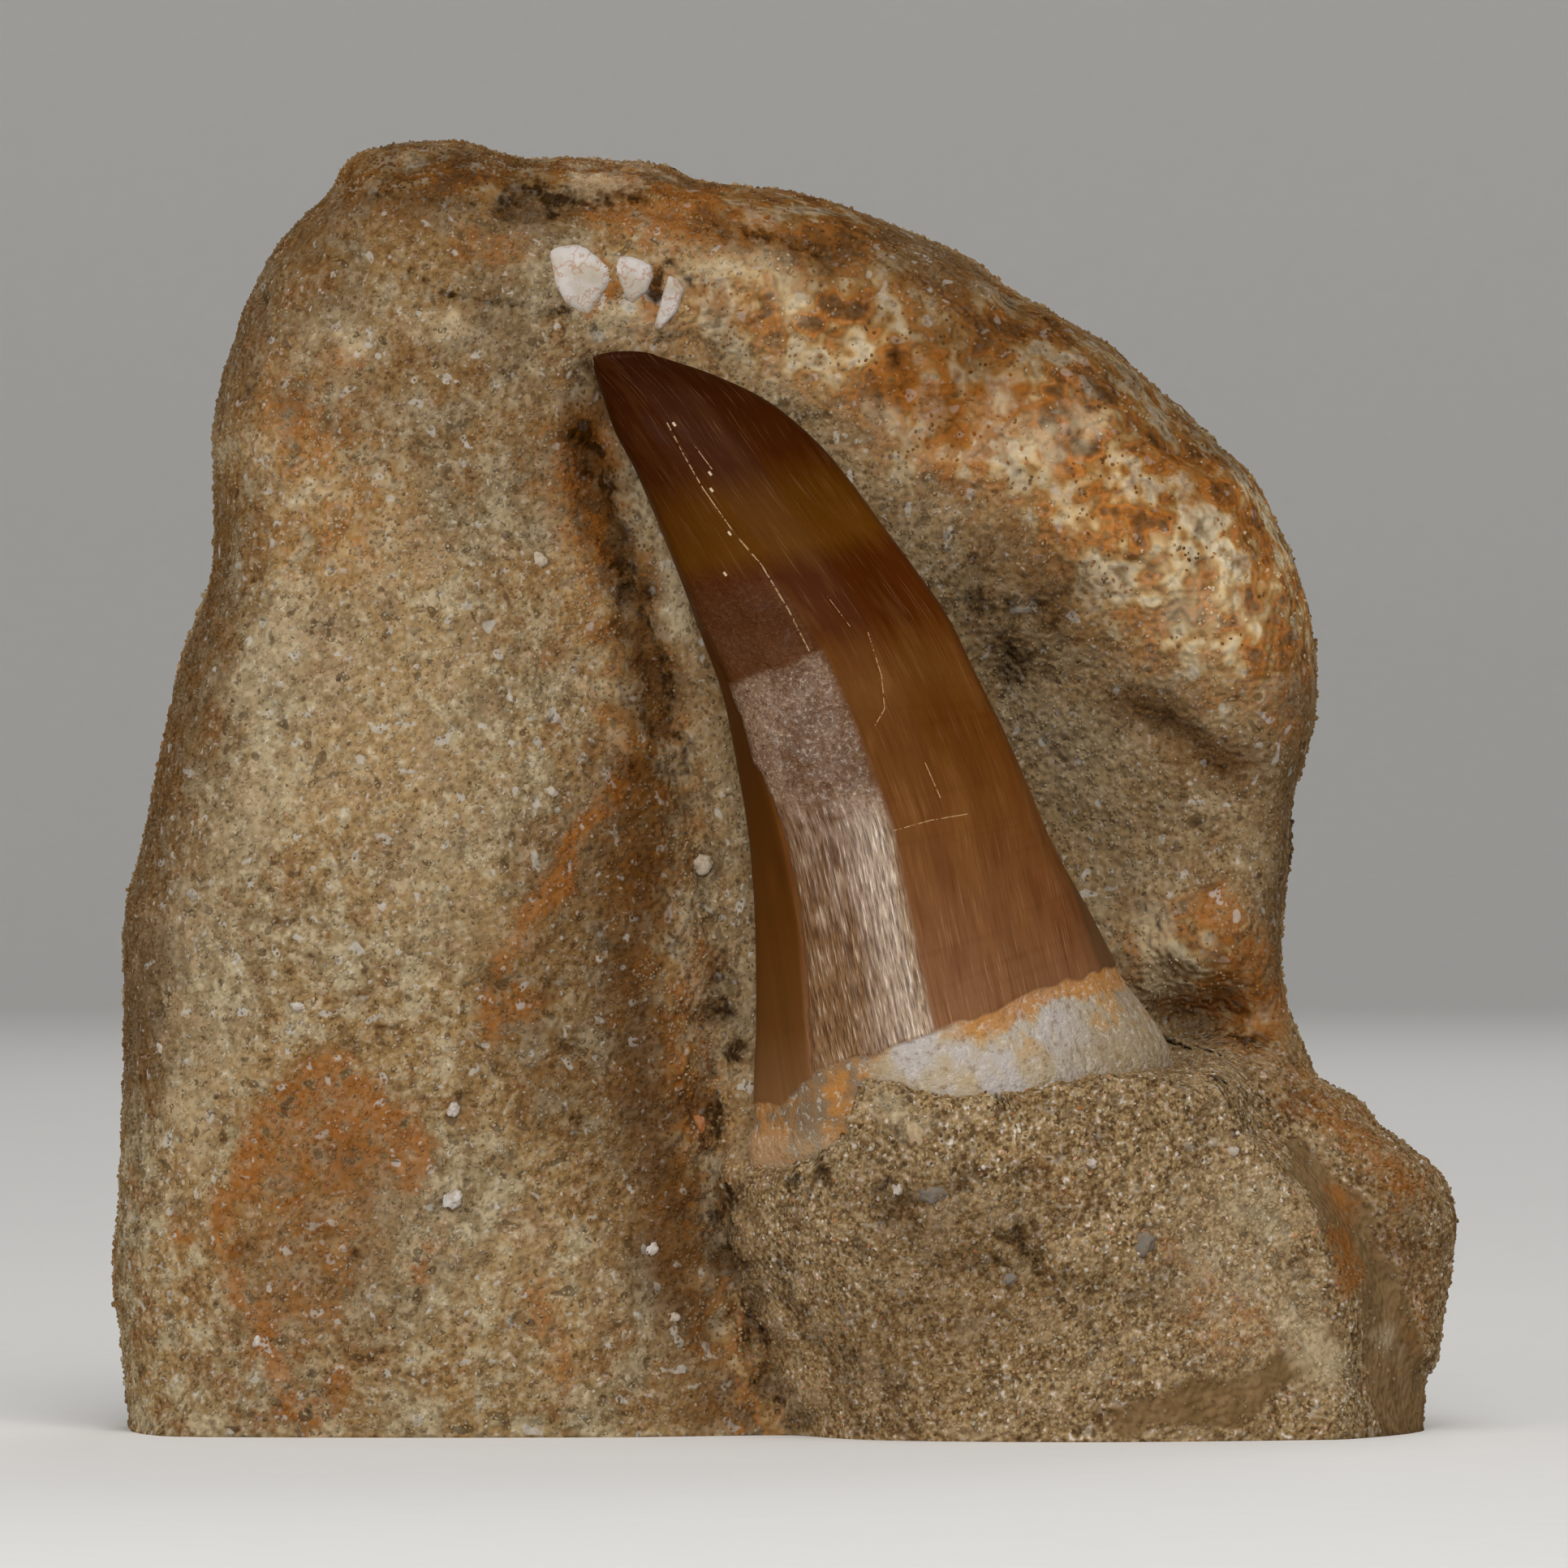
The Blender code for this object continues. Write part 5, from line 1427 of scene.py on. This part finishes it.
def light_studio(look):
    """A large soft box in front, a small one at the left, one above, one behind, and an even surround."""
    aim = Vector((0.0, 0.0, 0.04))
    lights = (
        ("Front light", look.front_power, 8.0, 33.0, 1.6, 1.0, (1.0, 0.985, 0.96)),
        ("Side light", look.side_power, -38.0, 6.0, 1.4, 0.65, (1.0, 0.985, 0.96)),
        ("Top light", look.top_power, 0.0, 62.0, 1.5, 1.0, (1.0, 1.0, 1.0)),
        ("Back light", look.back_power, 165.0, 38.0, 1.7, 0.7, (1.0, 1.0, 1.0)),
    )
    for name, power, azimuth, elevation, distance, size, colour in lights:
        data = bpy.data.lights.new(name, "AREA")
        data.shape, data.size, data.energy, data.color = "SQUARE", size, power, colour
        light = bpy.data.objects.new(name, data)
        a, e = math.radians(azimuth), math.radians(elevation)
        towards = Vector((math.sin(a) * math.cos(e), -math.cos(a) * math.cos(e), math.sin(e)))
        light.location = aim + towards * distance
        light.rotation_euler = towards.to_track_quat("Z", "Y").to_euler()
        light.visible_camera = False
        bpy.context.scene.collection.objects.link(light)
    world = bpy.data.worlds.new("Surround")
    world.use_nodes = True
    sky = world.node_tree.nodes["Background"]
    sky.inputs["Color"].default_value = (1.0, 1.0, 1.0, 1.0)
    sky.inputs["Strength"].default_value = look.surround
    bpy.context.scene.world = world
    bpy.context.scene.view_settings.view_transform = "Standard"


class FOSSIL_PT_panel(bpy.types.Panel):
    """Lists what the add-on makes and what can be changed"""
    bl_idname = "FOSSIL_PT_panel"
    bl_label = "Fossil tooth"
    bl_space_type = "VIEW_3D"
    bl_region_type = "UI"
    bl_category = "Fossil"

    def draw(self, context):
        for operator, group in STEPS:
            box = self.layout.box()
            box.operator(operator.bl_idname)
            if group:
                settings = getattr(context.scene, group)
                for name in type(settings).__annotations__:
                    box.prop(settings, name)


STEPS = (
    (FOSSIL_OT_stone, "fossil_stone"), (FOSSIL_OT_sand, "fossil_sand"), (FOSSIL_OT_tooth, "fossil_tooth"),
    (FOSSIL_OT_chips, None), (FOSSIL_OT_studio, "fossil_studio"),
)
GROUPS = {
    "fossil_stone": StoneLook, "fossil_sand": SandLook, "fossil_tooth": ToothLook, "fossil_studio": StudioLook,
}
CLASSES = (*GROUPS.values(), *(operator for operator, _ in STEPS), FOSSIL_PT_panel)


def register():
    for made in CLASSES:
        bpy.utils.register_class(made)
    for name, group in GROUPS.items():
        setattr(bpy.types.Scene, name, bpy.props.PointerProperty(type=group))


def unregister():
    for name in GROUPS:
        delattr(bpy.types.Scene, name)
    for made in reversed(CLASSES):
        bpy.utils.unregister_class(made)


def main():
    register()
    bpy.ops.fossil.stone()
    bpy.ops.fossil.sand()
    bpy.ops.fossil.tooth()
    bpy.ops.fossil.chips()
    bpy.ops.fossil.studio()


if __name__ == "__main__":
    main()
